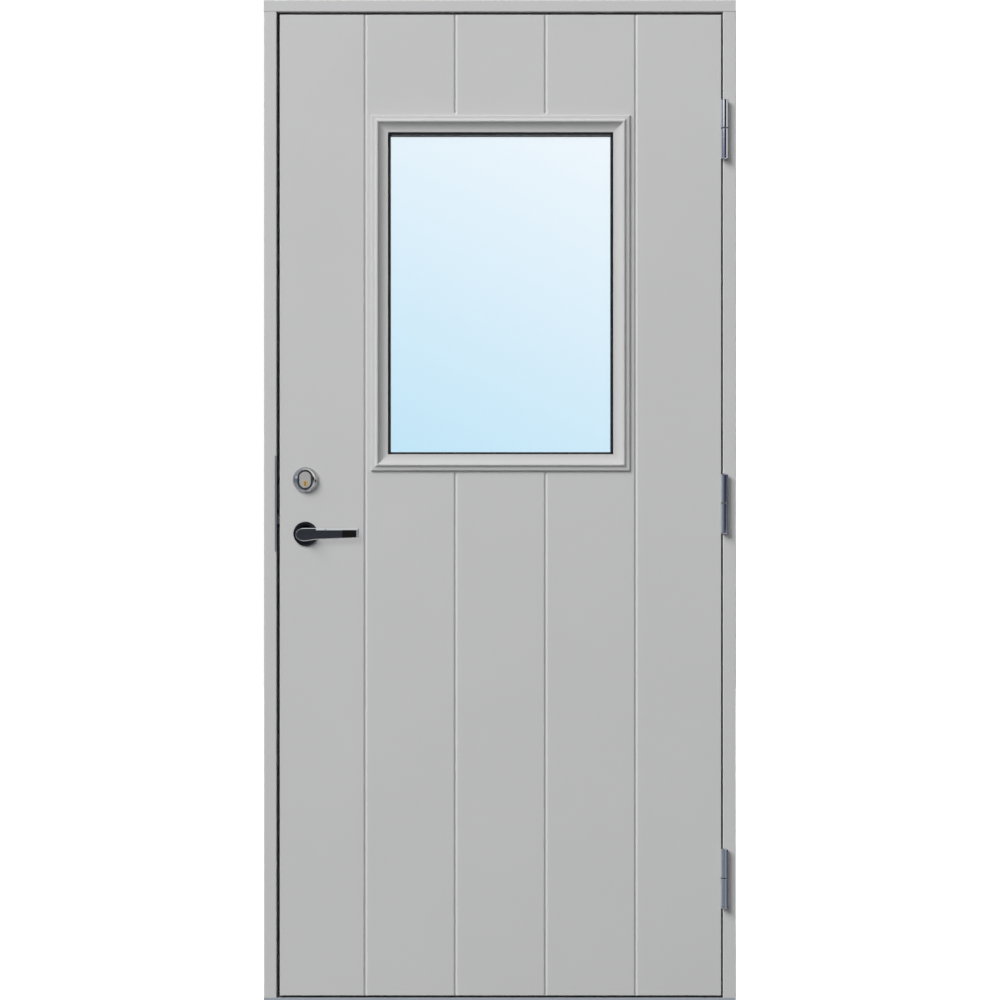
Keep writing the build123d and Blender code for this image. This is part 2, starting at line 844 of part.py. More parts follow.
with BuildPart() as leaf_inner_skin:
    with BuildSketch(facade(leaf_back)):
        with Locations((leaf_centre_x, (leaf_bottom + leaf_top) / 2)):
            Rectangle(leaf_right - leaf_left, leaf_top - leaf_bottom)
        with Locations((leaf_centre_x, trim_centre_z)):
            Rectangle(aperture_width, aperture_height, mode=Mode.SUBTRACT)
        with Locations((axis_x, lever_z)):
            Circle(spindle_hole_radius, mode=Mode.SUBTRACT)
        with Locations((axis_x, plug_z)):
            Circle(turn_hub_radius + turn_cutout_gap, mode=Mode.SUBTRACT)
        with Locations(*[(seat.origin.X, seat.origin.Z) for seat in cylinder_screw_seats]):
            Circle(cylinder_screw_shank + leaf_screw_gap, mode=Mode.SUBTRACT)
    extrude(amount=skin_thickness)
publish(leaf_inner_skin, "leaf_inner_skin")

with BuildPart() as leaf_stile_lock:
    cuboid(
        (leaf_left, leaf_left + lock_stile_width),
        (core_front, core_back),
        (leaf_bottom, leaf_top),
        Mode.ADD,
    )
    cuboid(
        (leaf_left - overcut, case_front_x),
        (
            leaf_centre_y - forend_width / 2 - housing_clearance,
            leaf_centre_y + forend_width / 2 + housing_clearance,
        ),
        (
            lock_centre_z - forend_height / 2 - housing_clearance,
            lock_centre_z + forend_height / 2 + housing_clearance,
        ),
    )
    cuboid(
        (leaf_left - overcut, case_back_x + case_clearance),
        (case_outside - case_clearance, case_inside + case_clearance),
        (
            lock_centre_z - case_height / 2 - case_clearance,
            lock_centre_z + case_height / 2 + case_clearance,
        ),
    )
    through_leaf(core_front, core_back)
    screw_holes(forend_screw_seats, forend_screw)
publish(leaf_stile_lock, "leaf_stile_lock")

with BuildPart() as leaf_stile_hinge:
    cuboid(
        (leaf_right - hinge_stile_width, leaf_right),
        (core_front, core_back),
        (leaf_bottom, leaf_top),
        Mode.ADD,
    )
    for level in hinge_levels.values():
        low = level + washer_thickness / 2 + bearing_gap
        pocket = hinge_plate_outline(
            core_front - overcut, core_front + hinge_plate_depth, low, low + knuckle_length, housing_clearance
        )
        extrude(
            pocket.moved(Location((leaf_right - hinge_plate, 0, 0))), amount=hinge_plate, mode=Mode.SUBTRACT
        )
    screw_holes(leaf_screw_seats, leaf_hinge_screw)
publish(leaf_stile_hinge, "leaf_stile_hinge")

core_left = leaf_left + lock_stile_width
core_right = leaf_right - hinge_stile_width
for name, z_low, z_high in (
    ("leaf_rail_top", leaf_top - top_rail_height, leaf_top),
    ("leaf_rail_bottom", leaf_bottom, leaf_bottom + bottom_rail_height),
):
    with BuildPart() as rail:
        cuboid((core_left, core_right), (core_front, core_back), (z_low, z_high), Mode.ADD)
    publish(rail, name)

with BuildPart() as leaf_core:
    cuboid(
        (core_left, core_right),
        (core_front, core_back),
        (leaf_bottom + bottom_rail_height, leaf_top - top_rail_height),
        Mode.ADD,
    )
    with BuildSketch(facade(core_front)):
        with Locations((leaf_centre_x, trim_centre_z)):
            Rectangle(aperture_width, aperture_height)
    extrude(amount=core_front - core_back, mode=Mode.SUBTRACT)
publish(leaf_core, "leaf_core")


# Glazing: a sealed triple unit clamped between two moulded trims
def glazing_rectangle(inset):
    return trim_width - 2 * inset, trim_height - 2 * inset


def glass_pane(y_front, name):
    with BuildPart() as pane:
        with BuildSketch(facade(y_front)):
            with Locations((leaf_centre_x, trim_centre_z)):
                Rectangle(*glazing_rectangle(unit_edge))
        extrude(amount=-pane_thickness)
    publish(pane, name)


glass_front = front + glass_setback
pane_pitch = pane_thickness + pane_gap
glass_pane(glass_front, "glass_outer")
glass_pane(glass_front + pane_pitch, "glass_middle")
glass_pane(glass_front + 2 * pane_pitch, "glass_inner")

with BuildPart() as glass_spacers:
    for bay in (0, 1):
        with BuildSketch(facade(glass_front + pane_thickness + bay * pane_pitch)):
            with Locations((leaf_centre_x, trim_centre_z)):
                Rectangle(*glazing_rectangle(unit_edge + spacer_inset))
                Rectangle(*glazing_rectangle(unit_edge + spacer_inset + spacer_width), mode=Mode.SUBTRACT)
        extrude(amount=-pane_gap)
publish(glass_spacers, "glass_spacers")

block_bottom = trim_centre_z - aperture_height / 2
block_top = trim_centre_z - trim_height / 2 + unit_edge
with BuildPart() as setting_blocks:
    for side in (-1, 1):
        middle = leaf_centre_x + side * block_spread / 2
        cuboid(
            (middle - block_length / 2, middle + block_length / 2),
            (glass_front + block_inset, glass_front + unit_thickness - block_inset),
            (block_bottom, block_top),
            Mode.ADD,
        )
publish(setting_blocks, "setting_blocks")


def round_the_window(outline, face, outward, name, extra=None):
    # Carries a section round the window, with mitred corners. The outline's first value runs from
    # the trim's outer edge towards the glass, its second out of the leaf's face.
    half_w = trim_width / 2
    half_h = trim_height / 2
    corner = Vector(leaf_centre_x - half_w, face, trim_centre_z)
    with BuildPart() as ring:
        with BuildLine():
            Polyline(
                (corner.X, face, trim_centre_z),
                (corner.X, face, trim_centre_z + half_h),
                (corner.X + trim_width, face, trim_centre_z + half_h),
                (corner.X + trim_width, face, trim_centre_z - half_h),
                (corner.X, face, trim_centre_z - half_h),
                close=True,
            )
        with BuildSketch(Plane(origin=corner, x_dir=(1, 0, 0), z_dir=(0, 0, 1))):
            with BuildLine():
                outline(outward)
            make_face()
        sweep(transition=Transition.RIGHT)
        if extra:
            extra()
    publish(ring, name)


def trim_outline(leg):
    # Small upright edge, outer slope, rounded ridge and a cove down to the lip at the glass.
    ridge_start = trim_slope_run
    ridge_end = trim_slope_run + trim_ridge_run
    shoulder = trim_ridge - trim_ridge_crown
    hollow_top = shoulder - trim_wall
    leg_side = trim_lap + trim_leg_clearance

    def draw(outward):
        def at(across, out):
            return (across, outward * out)

        Line(at(0, 0), at(0, trim_edge))
        Line(at(0, trim_edge), at(ridge_start, shoulder))
        ThreePointArc(
            at(ridge_start, shoulder),
            at((ridge_start + ridge_end) / 2, trim_ridge),
            at(ridge_end, shoulder),
        )
        SagittaArc(at(ridge_end, shoulder), at(trim_section, 0), -outward * trim_cove_sag)
        Polyline(
            at(trim_section, 0),
            at(trim_section, -leg),
            at(leg_side, -leg),
            at(leg_side, trim_edge),
            at(ridge_end - trim_hollow_inset, hollow_top),
            at(ridge_start + trim_hollow_inset, hollow_top),
            at(trim_wall, trim_edge - trim_edge_wall),
            at(trim_wall, 0),
            at(0, 0),
        )

    return draw


def gasket_outline(setback):
    # A flat strip between trim and glass, with a lip that shows beside the trim.
    leg = setback - glazing_gasket

    def draw(outward):
        def at(across, out):
            return (across, outward * out)

        Polyline(
            at(unit_edge + gasket_cover, -setback),
            at(unit_edge + gasket_cover, -leg),
            at(trim_section, -leg),
            at(trim_section, gasket_lip_height - leg),
            at(trim_section + gasket_lip_crown, gasket_lip_height - leg),
            at(trim_section + gasket_lip, gasket_lip_edge - setback),
            at(trim_section + gasket_lip, -setback),
            close=True,
        )

    return draw


boss_spots = [
    (leaf_centre_x + side * boss_spread_x / 2, trim_centre_z + end * (trim_height / 2 - boss_offset))
    for side in (-1, 1)
    for end in (-1, 1)
] + [
    (leaf_centre_x + side * (trim_width / 2 - boss_offset), trim_centre_z + row * boss_spread_z / 2)
    for side in (-1, 1)
    for row in (-1, 0, 1)
]
outer_leg = glass_setback - glazing_gasket
inner_leg = inner_glass_setback - glazing_gasket


def outer_bosses():
    # Posts that take the clamping screws.
    for x, z in boss_spots:
        bore(
            Plane(origin=(x, front + outer_leg - boss_root, z), z_dir=(0, -1, 0)),
            boss_radius,
            boss_length + boss_root,
            Mode.ADD,
        )
        bore(
            Plane(origin=(x, front + outer_leg + boss_length, z), z_dir=(0, 1, 0)),
            glazing_screw_shank + screw_clearance,
            boss_length,
        )


def inner_screw_holes():
    # Counterbores for the screw heads, with the shank holes behind them.
    for x, z in boss_spots:
        bore(
            Plane(origin=(x, leaf_back + trim_ridge, z), z_dir=(0, 1, 0)),
            glazing_screw_head + screw_clearance,
            trim_ridge + glazing_screw_seat,
        )
        bore(
            Plane(origin=(x, leaf_back + trim_ridge, z), z_dir=(0, 1, 0)),
            glazing_screw_shank + screw_clearance,
            trim_ridge + inner_leg,
        )


round_the_window(trim_outline(outer_leg), front, -1, "glazing_trim_outer", outer_bosses)
round_the_window(trim_outline(inner_leg), leaf_back, 1, "glazing_trim_inner", inner_screw_holes)
round_the_window(gasket_outline(glass_setback), front, -1, "glazing_gasket_outer")
round_the_window(gasket_outline(inner_glass_setback), leaf_back, 1, "glazing_gasket_inner")

with BuildPart() as glazing_screws:
    for x, z in boss_spots:
        head_seat = leaf_back - glazing_screw_seat
        head_top = Plane(origin=(x, head_seat + glazing_screw_head_height, z), z_dir=(0, 1, 0))
        bore(head_top, glazing_screw_head, glazing_screw_head_height, Mode.ADD)
        bore(head_top, glazing_screw_shank, glazing_screw_head_height + glazing_screw_length, Mode.ADD)
publish(glazing_screws, "glazing_screws")

# Lock case with its cover and forend
case_low = lock_centre_z - case_height / 2
case_high = lock_centre_z + case_height / 2
case_inner_low_y = case_outside + case_sheet
case_inner_high_y = case_inside - case_sheet


def bolt_openings(x_from, x_to):
    # Openings that guide the latch bolt and the dead bolt.
    for z, height in ((latch_z, latch_height), (bolt_z, bolt_height)):
        cuboid(
            (x_from, x_to),
            (
                leaf_centre_y - bolt_width / 2 - slide_clearance,
                leaf_centre_y + bolt_width / 2 + slide_clearance,
            ),
            (z - height / 2 - slide_clearance, z + height / 2 + slide_clearance),
        )


def case_bearings(y_top, depth, turn_radius):
    bore(Plane(origin=(axis_x, y_top, lever_z), z_dir=(0, 1, 0)), journal_radius + running_clearance, depth)
    bore(Plane(origin=(axis_x, y_top, plug_z), z_dir=(0, 1, 0)), turn_radius, depth)
    for seat in cylinder_screw_seats:
        hole = Plane(origin=(seat.origin.X, y_top, seat.origin.Z), z_dir=(0, 1, 0))
        bore(hole, cylinder_screw_shank + case_screw_gap, depth)


with BuildPart() as lock_case:
    cuboid((case_front_x, case_back_x), (case_outside, case_inner_high_y), (case_low, case_high), Mode.ADD)
    cuboid(
        (case_front_x + case_sheet, case_back_x - case_sheet),
        (case_inner_low_y, case_inner_high_y + overcut),
        (case_low + case_sheet, case_high - case_sheet),
    )
    bolt_openings(case_front_x - overcut, case_front_x + case_sheet + overcut)
    case_bearings(case_inner_low_y, case_sheet + overcut, turn_shaft_radius + running_clearance)
publish(lock_case, "lock_case")

with BuildPart() as lock_case_cover:
    cuboid((case_front_x, case_back_x), (case_inner_high_y, case_inside), (case_low, case_high), Mode.ADD)
    case_bearings(case_inside, case_sheet + overcut, turn_shaft_radius + running_clearance)
publish(lock_case_cover, "lock_case_cover")

with BuildPart() as lock_forend:
    cuboid(
        (leaf_left, case_front_x),
        (leaf_centre_y - forend_width / 2, leaf_centre_y + forend_width / 2),
        (lock_centre_z - forend_height / 2, lock_centre_z + forend_height / 2),
        Mode.ADD,
    )
    bolt_openings(leaf_left - overcut, case_front_x + overcut)
    screw_holes(forend_screw_seats, forend_screw)
publish(lock_forend, "lock_forend")

with BuildPart() as forend_screws:
    screws(forend_screw_seats, forend_screw)
publish(forend_screws, "forend_screws")

# Latch bolt: bevelled nose, and a tail whose lug the follower draws back
latch_nose = leaf_left - latch_throw
latch_back = latch_nose + latch_throw + latch_body
lug_front = axis_x + follower_arm_width / 2 + latch_lug_gap
with BuildPart() as latch_bolt:
    with BuildSketch(Plane.XY.offset(latch_z - latch_height / 2)):
        with BuildLine():
            Polyline(
                (latch_nose, leaf_centre_y - bolt_width / 2),
                (latch_nose, leaf_centre_y - bolt_width / 2 + latch_nose_flat),
                (leaf_left - latch_bevel_end, leaf_centre_y + bolt_width / 2),
                (latch_back, leaf_centre_y + bolt_width / 2),
                (latch_back, leaf_centre_y - bolt_width / 2),
                close=True,
            )
        make_face()
    extrude(amount=latch_height)
    cuboid(
        (latch_back, lug_front + latch_lug_width),
        (leaf_centre_y - tail_width / 2, leaf_centre_y + tail_width / 2),
        (latch_z - tail_height / 2, latch_z + tail_height / 2),
        Mode.ADD,
    )
    cuboid(
        (lug_front, lug_front + latch_lug_width),
        (leaf_centre_y - tail_width / 2, leaf_centre_y + tail_width / 2),
        (latch_z - tail_height / 2 - latch_lug_drop, latch_z),
        Mode.ADD,
    )
publish(latch_bolt, "latch_bolt")

# Dead bolt, drawn back, with the fork that the turn's arm works in
fork_x = axis_x + bolt_throw / 2
fork_gap = 2 * (turn_tip_radius + fork_play)
fork_top = plug_z - fork_drop
tail_top = bolt_z + bolt_tail_height
with BuildPart() as dead_bolt:
    cuboid(
        (leaf_left, leaf_left + bolt_body),
        (leaf_centre_y - bolt_width / 2, leaf_centre_y + bolt_width / 2),
        (bolt_z - bolt_height / 2, bolt_z + bolt_height / 2),
        Mode.ADD,
    )
    cuboid(
        (leaf_left + bolt_body, fork_x + fork_gap / 2 + fork_prong),
        (leaf_centre_y - tail_width / 2, leaf_centre_y + tail_width / 2),
        (bolt_z, tail_top),
        Mode.ADD,
    )
    for side in (-1, 1):
        inner = fork_x + side * fork_gap / 2
        outer = fork_x + side * (fork_gap / 2 + fork_prong)
        cuboid(
            (min(inner, outer), max(inner, outer)),
            (leaf_centre_y - tail_width / 2, leaf_centre_y + tail_width / 2),
            (bolt_z, fork_top),
            Mode.ADD,
        )
publish(dead_bolt, "dead_bolt")

# Follower: journals in the case walls, a square bore and the arm that draws the latch
with BuildPart() as lever_follower:
    bore(
        Plane(origin=(axis_x, case_inner_high_y - case_play, lever_z), z_dir=(0, 1, 0)),
        follower_radius,
        case_inner_high_y - case_inner_low_y - 2 * case_play,
        Mode.ADD,
    )
    bore(
        Plane(origin=(axis_x, case_inside + journal_stand_out, lever_z), z_dir=(0, 1, 0)),
        journal_radius,
        case_thickness + 2 * journal_stand_out,
        Mode.ADD,
    )
    cuboid(
        (axis_x - follower_arm_width / 2, axis_x + follower_arm_width / 2),
        (leaf_centre_y - tail_width / 2, leaf_centre_y + tail_width / 2),
        (lever_z, lever_z + follower_arm),
        Mode.ADD,
    )
    cuboid(
        (axis_x - spindle_size / 2, axis_x + spindle_size / 2),
        (case_outside - overcut, case_inside + overcut),
        (lever_z - spindle_size / 2, lever_z + spindle_size / 2),
    )
publish(lever_follower, "lever_follower")


# Lever handles
def lever(outward, face, name):
    # The plate of the lever stands off the leaf on a round neck that turns in the rose.
    lever_front = face + outward * lever_projection
    top = nose_half_height - nose_drop
    with BuildPart() as handle:
        face_plane = Plane(origin=(axis_x, lever_front, lever_z), x_dir=(1, 0, 0), z_dir=(0, -1, 0))
        with BuildSketch(face_plane) as plan:
            with BuildLine():
                nose_centre = (0, -nose_drop)
                EllipticalCenterArc(
                    nose_centre, nose_length, nose_half_height, start_angle=90, arc_size=180
                )
                Spline(
                    (0, -nose_drop - nose_half_height),
                    (neck_end, top - lever_depth_at_neck),
                    tangents=((1, 0), (lever_reach - neck_end, lever_depth_at_neck - lever_depth_at_end)),
                )
                Polyline(
                    (neck_end, top - lever_depth_at_neck),
                    (lever_reach, top - lever_depth_at_end),
                    (lever_reach, top),
                    (0, top),
                )
            make_face()
            fillet(plan.vertices().group_by(Axis.X)[-1], lever_corner)
        extrude(amount=outward * lever_thickness)
        chamfer(handle.edges().group_by(Axis.Y)[0 if outward < 0 else -1], lever_edge)
        with BuildSketch(Plane(origin=(axis_x + neck_end, 0, lever_z), x_dir=(0, 1, 0), z_dir=(1, 0, 0))):
            with BuildLine():
                Polyline(
                    (lever_front, top - top_bevel_height),
                    (lever_front, top + overcut),
                    (lever_front - outward * top_bevel_depth, top + overcut),
                    (lever_front - outward * top_bevel_depth, top),
                    close=True,
                )
            make_face()
        extrude(amount=lever_reach, mode=Mode.SUBTRACT)
        with BuildSketch(Plane.XY.offset(lever_z - 2 * nose_half_height)):
            with BuildLine():
                Polyline(
                    (axis_x + lever_reach - end_bevel, lever_front),
                    (axis_x + lever_reach + overcut, lever_front),
                    (axis_x + lever_reach + overcut, lever_front - outward * end_bevel_depth),
                    (axis_x + lever_reach, lever_front - outward * end_bevel_depth),
                    close=True,
                )
            make_face()
        extrude(amount=4 * nose_half_height, mode=Mode.SUBTRACT)
        pinhole_y = lever_front - outward * top_bevel_depth * (1 - pinhole_drop / top_bevel_height)
        pinhole_seat = Plane(
            origin=(axis_x + pinhole_reach, pinhole_y, lever_z + top - pinhole_drop),
            x_dir=(1, 0, 0),
            z_dir=(0, outward * top_bevel_height, top_bevel_depth),
        )
        bore(pinhole_seat, pinhole_radius, pinhole_depth)
        neck_seat = Plane(origin=(axis_x, lever_front - outward, lever_z), z_dir=(0, outward, 0))
        neck_foot = face + outward * neck_stand_off
        bore(neck_seat, neck_radius, abs(neck_seat.origin.Y - neck_foot), Mode.ADD)
        socket = Plane(origin=(axis_x, neck_foot, lever_z), x_dir=(1, 0, 0), z_dir=(0, outward, 0))
        with BuildSketch(socket):
            Rectangle(spindle_size, spindle_size)
        extrude(amount=spindle_engagement, mode=Mode.SUBTRACT)
    publish(handle, name)


lever(-1, front, "outer_lever")
lever(1, leaf_back, "inner_lever")

with BuildPart() as spindle:
    reach = neck_stand_off + spindle_engagement
    cuboid(
        (axis_x - spindle_size / 2, axis_x + spindle_size / 2),
        (front - reach, leaf_back + reach),
        (lever_z - spindle_size / 2, lever_z + spindle_size / 2),
        Mode.ADD,
    )
publish(spindle, "spindle")


# Roses
def disc_outline(outward, inner, crown, outer, height):
    # Half section of a turned disc: level as far as the crown, then a domed shoulder down to the rim.
    start = (crown, outward * height)
    Polyline(start, (inner, outward * height), (inner, 0), (outer, 0), (outer, outward * disc_rim))
    TangentArc(start, (outer, outward * disc_rim), tangent=(1, 0))


def rose(outward, face, name):
    with BuildPart() as disc:
        with BuildSketch(Plane(origin=(axis_x, face, lever_z), x_dir=(1, 0, 0), z_dir=(0, 0, 1))):
            with BuildLine():
                rose_crown = rose_radius - disc_crown_inset
                disc_outline(outward, neck_radius + swing_clearance, rose_crown, rose_radius, rose_height)
            make_face()
        revolve(axis=Axis((axis_x, face, lever_z), (0, 1, 0)))
    publish(disc, name)


rose(-1, front, "outer_rose")
rose(1, leaf_back, "inner_rose")

# Cylinder ring: a turned dome with an oval recess round the cylinder
with BuildPart() as cylinder_ring:
    with BuildSketch(Plane(origin=(axis_x, front, cylinder_z), x_dir=(1, 0, 0), z_dir=(0, 0, 1))):
        with BuildLine():
            disc_outline(-1, 0, ring_crown_radius, ring_radius, ring_height)
        make_face()
    revolve(axis=Axis((axis_x, front, cylinder_z), (0, 1, 0)))
    with BuildSketch(facade(front - ring_height)):
        with Locations((axis_x, cylinder_z)):
            cylinder_slot(ring_recess_border + housing_clearance)
    extrude(amount=-ring_recess, mode=Mode.SUBTRACT)
    with BuildSketch(facade(front - ring_height)):
        with Locations((axis_x, cylinder_z)):
            cylinder_slot(housing_clearance)
    extrude(amount=-ring_height, mode=Mode.SUBTRACT)
publish(cylinder_ring, "cylinder_ring")

cylinder_face = front - ring_height + cylinder_setback
with BuildPart() as cylinder_body:
    with BuildSketch(facade(cylinder_face)):
        with Locations((axis_x, cylinder_z)):
            cylinder_slot(0)
    extrude(amount=cylinder_face - case_outside + case_gap)
    fillet(cylinder_body.edges().group_by(Axis.Y)[0], cylinder_edge)
    bore(
        Plane(origin=(axis_x, cylinder_face, plug_z), z_dir=(0, -1, 0)),
        plug_radius + running_clearance,
        plug_length,
    )
    screw_holes(cylinder_screw_seats, cylinder_screw)
publish(cylinder_body, "cylinder_body")

with BuildPart() as key_plug:
    bore(
        Plane(origin=(axis_x, cylinder_face - plug_stand_out, plug_z), z_dir=(0, -1, 0)),
        plug_radius,
        plug_length + plug_stand_out - plug_end_gap,
        Mode.ADD,
    )
    chamfer(key_plug.edges().filter_by(GeomType.CIRCLE).group_by(Axis.Y)[0], plug_chamfer)
    cuboid(
        (axis_x - keyway_width / 2, axis_x + keyway_width / 2),
        (cylinder_face - overcut, cylinder_face + keyway_depth),
        (plug_z - keyway_height / 2, plug_z + keyway_height / 2),
    )
publish(key_plug, "key_plug")

with BuildPart() as turn_plate:
    with BuildSketch(Plane(origin=(axis_x, leaf_back, cylinder_z), x_dir=(1, 0, 0), z_dir=(0, 0, 1))):
        with BuildLine():
            disc_outline(1, 0, ring_radius - disc_crown_inset, ring_radius, turn_plate_height)
        make_face()
    revolve(axis=Axis((axis_x, leaf_back, cylinder_z), (0, 1, 0)))
    bore(
        Plane(origin=(axis_x, leaf_back + turn_plate_height, plug_z), z_dir=(0, 1, 0)),
        turn_shaft_radius + swing_clearance,
        turn_plate_height,
    )
    screw_holes(cylinder_screw_seats, cylinder_screw)
publish(turn_plate, "turn_plate")

with BuildPart() as cylinder_screws:
    screws(cylinder_screw_seats, cylinder_screw)
publish(cylinder_screws, "cylinder_screws")

# Thumb turn: knob, shaft, hub in the lock case and the arm that throws the dead bolt
knob_foot = leaf_back + turn_plate_height + turn_knob_gap
shaft_end = case_outside + case_gap
with BuildPart() as thumb_turn:
    with BuildSketch(facade(knob_foot)):
        with Locations((axis_x, plug_z)):
            SlotOverall(turn_knob_length, turn_knob_width, rotation=90)
    extrude(amount=-turn_knob_height)
    fillet(thumb_turn.edges().group_by(Axis.Y)[-1], turn_knob_edge)
    shaft_top = knob_foot + turn_knob_height / 2
    bore(
        Plane(origin=(axis_x, shaft_top, plug_z), z_dir=(0, 1, 0)),
        turn_shaft_radius,
        shaft_top - shaft_end,
        Mode.ADD,
    )
    bore(
        Plane(origin=(axis_x, case_inner_high_y - case_play, plug_z), z_dir=(0, 1, 0)),
        turn_hub_radius,
        case_inner_high_y - case_inner_low_y - 2 * case_play,
        Mode.ADD,
    )
    arm_plane = Plane(origin=(axis_x, leaf_centre_y, plug_z), x_dir=(1, 0, -1), z_dir=(0, -1, 0))
    with BuildSketch(arm_plane):
        with Locations((turn_arm / 2, 0)):
            Rectangle(turn_arm, turn_arm_width)
        with Locations((turn_arm, 0)):
            Circle(turn_tip_radius)
    extrude(amount=tail_width / 2, both=True)
publish(thumb_turn, "thumb_turn")
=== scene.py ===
import math

import bmesh
import bpy
from mathutils import Matrix, Vector


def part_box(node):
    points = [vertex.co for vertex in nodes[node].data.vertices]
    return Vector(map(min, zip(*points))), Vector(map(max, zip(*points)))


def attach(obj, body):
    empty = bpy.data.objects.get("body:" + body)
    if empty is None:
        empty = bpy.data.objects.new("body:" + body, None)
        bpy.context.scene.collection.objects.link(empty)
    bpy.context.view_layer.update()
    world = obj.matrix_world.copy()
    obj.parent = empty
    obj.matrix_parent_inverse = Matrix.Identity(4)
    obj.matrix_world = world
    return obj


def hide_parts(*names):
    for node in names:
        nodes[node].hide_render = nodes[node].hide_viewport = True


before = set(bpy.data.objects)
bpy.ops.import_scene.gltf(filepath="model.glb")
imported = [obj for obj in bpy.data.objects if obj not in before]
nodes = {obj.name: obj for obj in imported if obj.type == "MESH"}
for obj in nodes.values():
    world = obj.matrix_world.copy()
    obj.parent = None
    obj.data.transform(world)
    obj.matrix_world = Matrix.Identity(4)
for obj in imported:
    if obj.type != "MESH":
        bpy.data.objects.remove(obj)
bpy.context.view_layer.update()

print("frame loaded:", len(nodes), "nodes")


# Places on the CAD pieces, in metres: the leaf's outer face, and three pieces' low and high corners
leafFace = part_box("leaf_outer_skin")[0].y
leverLow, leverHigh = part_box("outer_lever")
plugLow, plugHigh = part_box("key_plug")
glassLow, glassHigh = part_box("glass_outer")

weldDistance = 1e-6  # in metres: points nearer than this are one point
white = "ffffff"


# Small tools

def colour(hexCode):
    # sRGB hex to the linear values that the shaders work in
    values = [int(hexCode[i:i + 2], 16) / 255 for i in (0, 2, 4)]
    linear = [v / 12.92 if v <= 0.04045 else ((v + 0.055) / 1.055) ** 2.4 for v in values]
    return (*linear, 1.0)


def metres(millimetres):
    return millimetres / 1000


def perMetre(millimetres):
    # Pattern scale for a feature of that real size, on coordinates in metres
    return 1000 / millimetres


def addNode(tree, kind, inputs=None, stops=(), **settings):
    # Inputs that come from another node are linked and the rest are set. Stops fill a colour ramp
    node = tree.nodes.new("ShaderNode" + kind)
    for name, value in settings.items():
        setattr(node, name, value)
    for socket, value in (inputs or {}).items():
        if isinstance(value, bpy.types.Node):
            value = value.outputs[0]
        if isinstance(value, bpy.types.NodeSocket):
            tree.links.new(value, node.inputs[socket])
        else:
            node.inputs[socket].default_value = value
    for index, (place, tone) in enumerate(stops):
        spots = node.color_ramp.elements
        if index == 0:
            spots.remove(spots[1])
        spot = spots[0] if index == 0 else spots.new(place)
        spot.position = place
        spot.color = colour(tone)
    return node


def startMaterial(name):
    # An empty node tree, with the piece's own coordinates in metres
    material = bpy.data.materials.new(name)
    material.use_nodes = True
    tree = material.node_tree
    tree.nodes.clear()
    return material, tree, addNode(tree, "TexCoord").outputs["Object"]


def finishMaterial(tree, surface):
    shader = addNode(tree, "BsdfPrincipled", surface)
    addNode(tree, "OutputMaterial", {"Surface": shader})


def dress(material, *names):
    for name in names:
        for slot in nodes[name].material_slots:
            slot.material = material


def extrudeRing(shape, edges):
    # The new ring's points and its edges
    made = bmesh.ops.extrude_edge_only(shape, edges=edges)["geom"]
    kinds = bmesh.types.BMVert, bmesh.types.BMEdge
    return [[part for part in made if isinstance(part, kind)] for kind in kinds]


def newPiece(shape, name, material):
    # The finished shape as an object at the origin
    mesh = bpy.data.meshes.new(name)
    shape.to_mesh(mesh)
    shape.free()
    mesh.materials.append(material)
    piece = bpy.data.objects.new(name, mesh)
    bpy.context.scene.collection.objects.link(piece)
    return piece


# Materials

paintLook = {
    "frameTone": ("c6c6c5", "c1c1c0"),
    "leafTone": ("c7c7c6", "c2c2c1"),
    "trimTone": ("c3c3c2", "bfbfbe"),
    "toneSize": 260.0,  # this and the next four in millimetres
    "waveSize": 90.0,  # long waves of the board under the paint
    "waveHeight": 0.02,
    "peelSize": 1.6,  # orange peel of a sprayed coat
    "peelHeight": 0.004,
    "roughness": (0.36, 0.46),
    "ior": 1.5,
}


def satinPaint(name, tones):
    # Alkyd enamel, sprayed on primed timber and fibreboard: an even satin, with a faint orange peel
    # and waves that only show in the way highlights run
    look = paintLook
    material, tree, place = startMaterial(name)
    clouds = addNode(tree, "TexNoise", {
        "Vector": place, "Scale": perMetre(look["toneSize"]), "Detail": 3,
    })
    waves = addNode(tree, "TexNoise", {"Vector": place, "Scale": perMetre(look["waveSize"])})
    peel = addNode(tree, "TexNoise", {"Vector": place, "Scale": perMetre(look["peelSize"])})
    first, second = map(colour, tones)
    tone = addNode(tree, "Mix", {"Factor": clouds, "A": first, "B": second}, data_type="RGBA")
    fine, rough = look["roughness"]
    gloss = addNode(tree, "MapRange", {"Value": waves, "To Min": fine, "To Max": rough})
    lie = addNode(tree, "Bump", {"Height": waves, "Distance": metres(look["waveHeight"])})
    relief = addNode(tree, "Bump", {
        "Height": peel, "Distance": metres(look["peelHeight"]), "Normal": lie,
    })
    finishMaterial(tree, {
        "Base Color": tone.outputs["Result"], "Roughness": gloss, "Normal": relief, "IOR": look["ior"],
    })
    return material


glassLook = {
    "low": "cbe9fa",
    "high": "f8faff",
    "across": 0.25,  # the share of the change of tone that runs from left to right
    "ior": 1.45,
    "clear": "f9fcfc",
    "hazeSize": 120.0,  # in millimetres
    "hazeRoughness": 0.01,
}


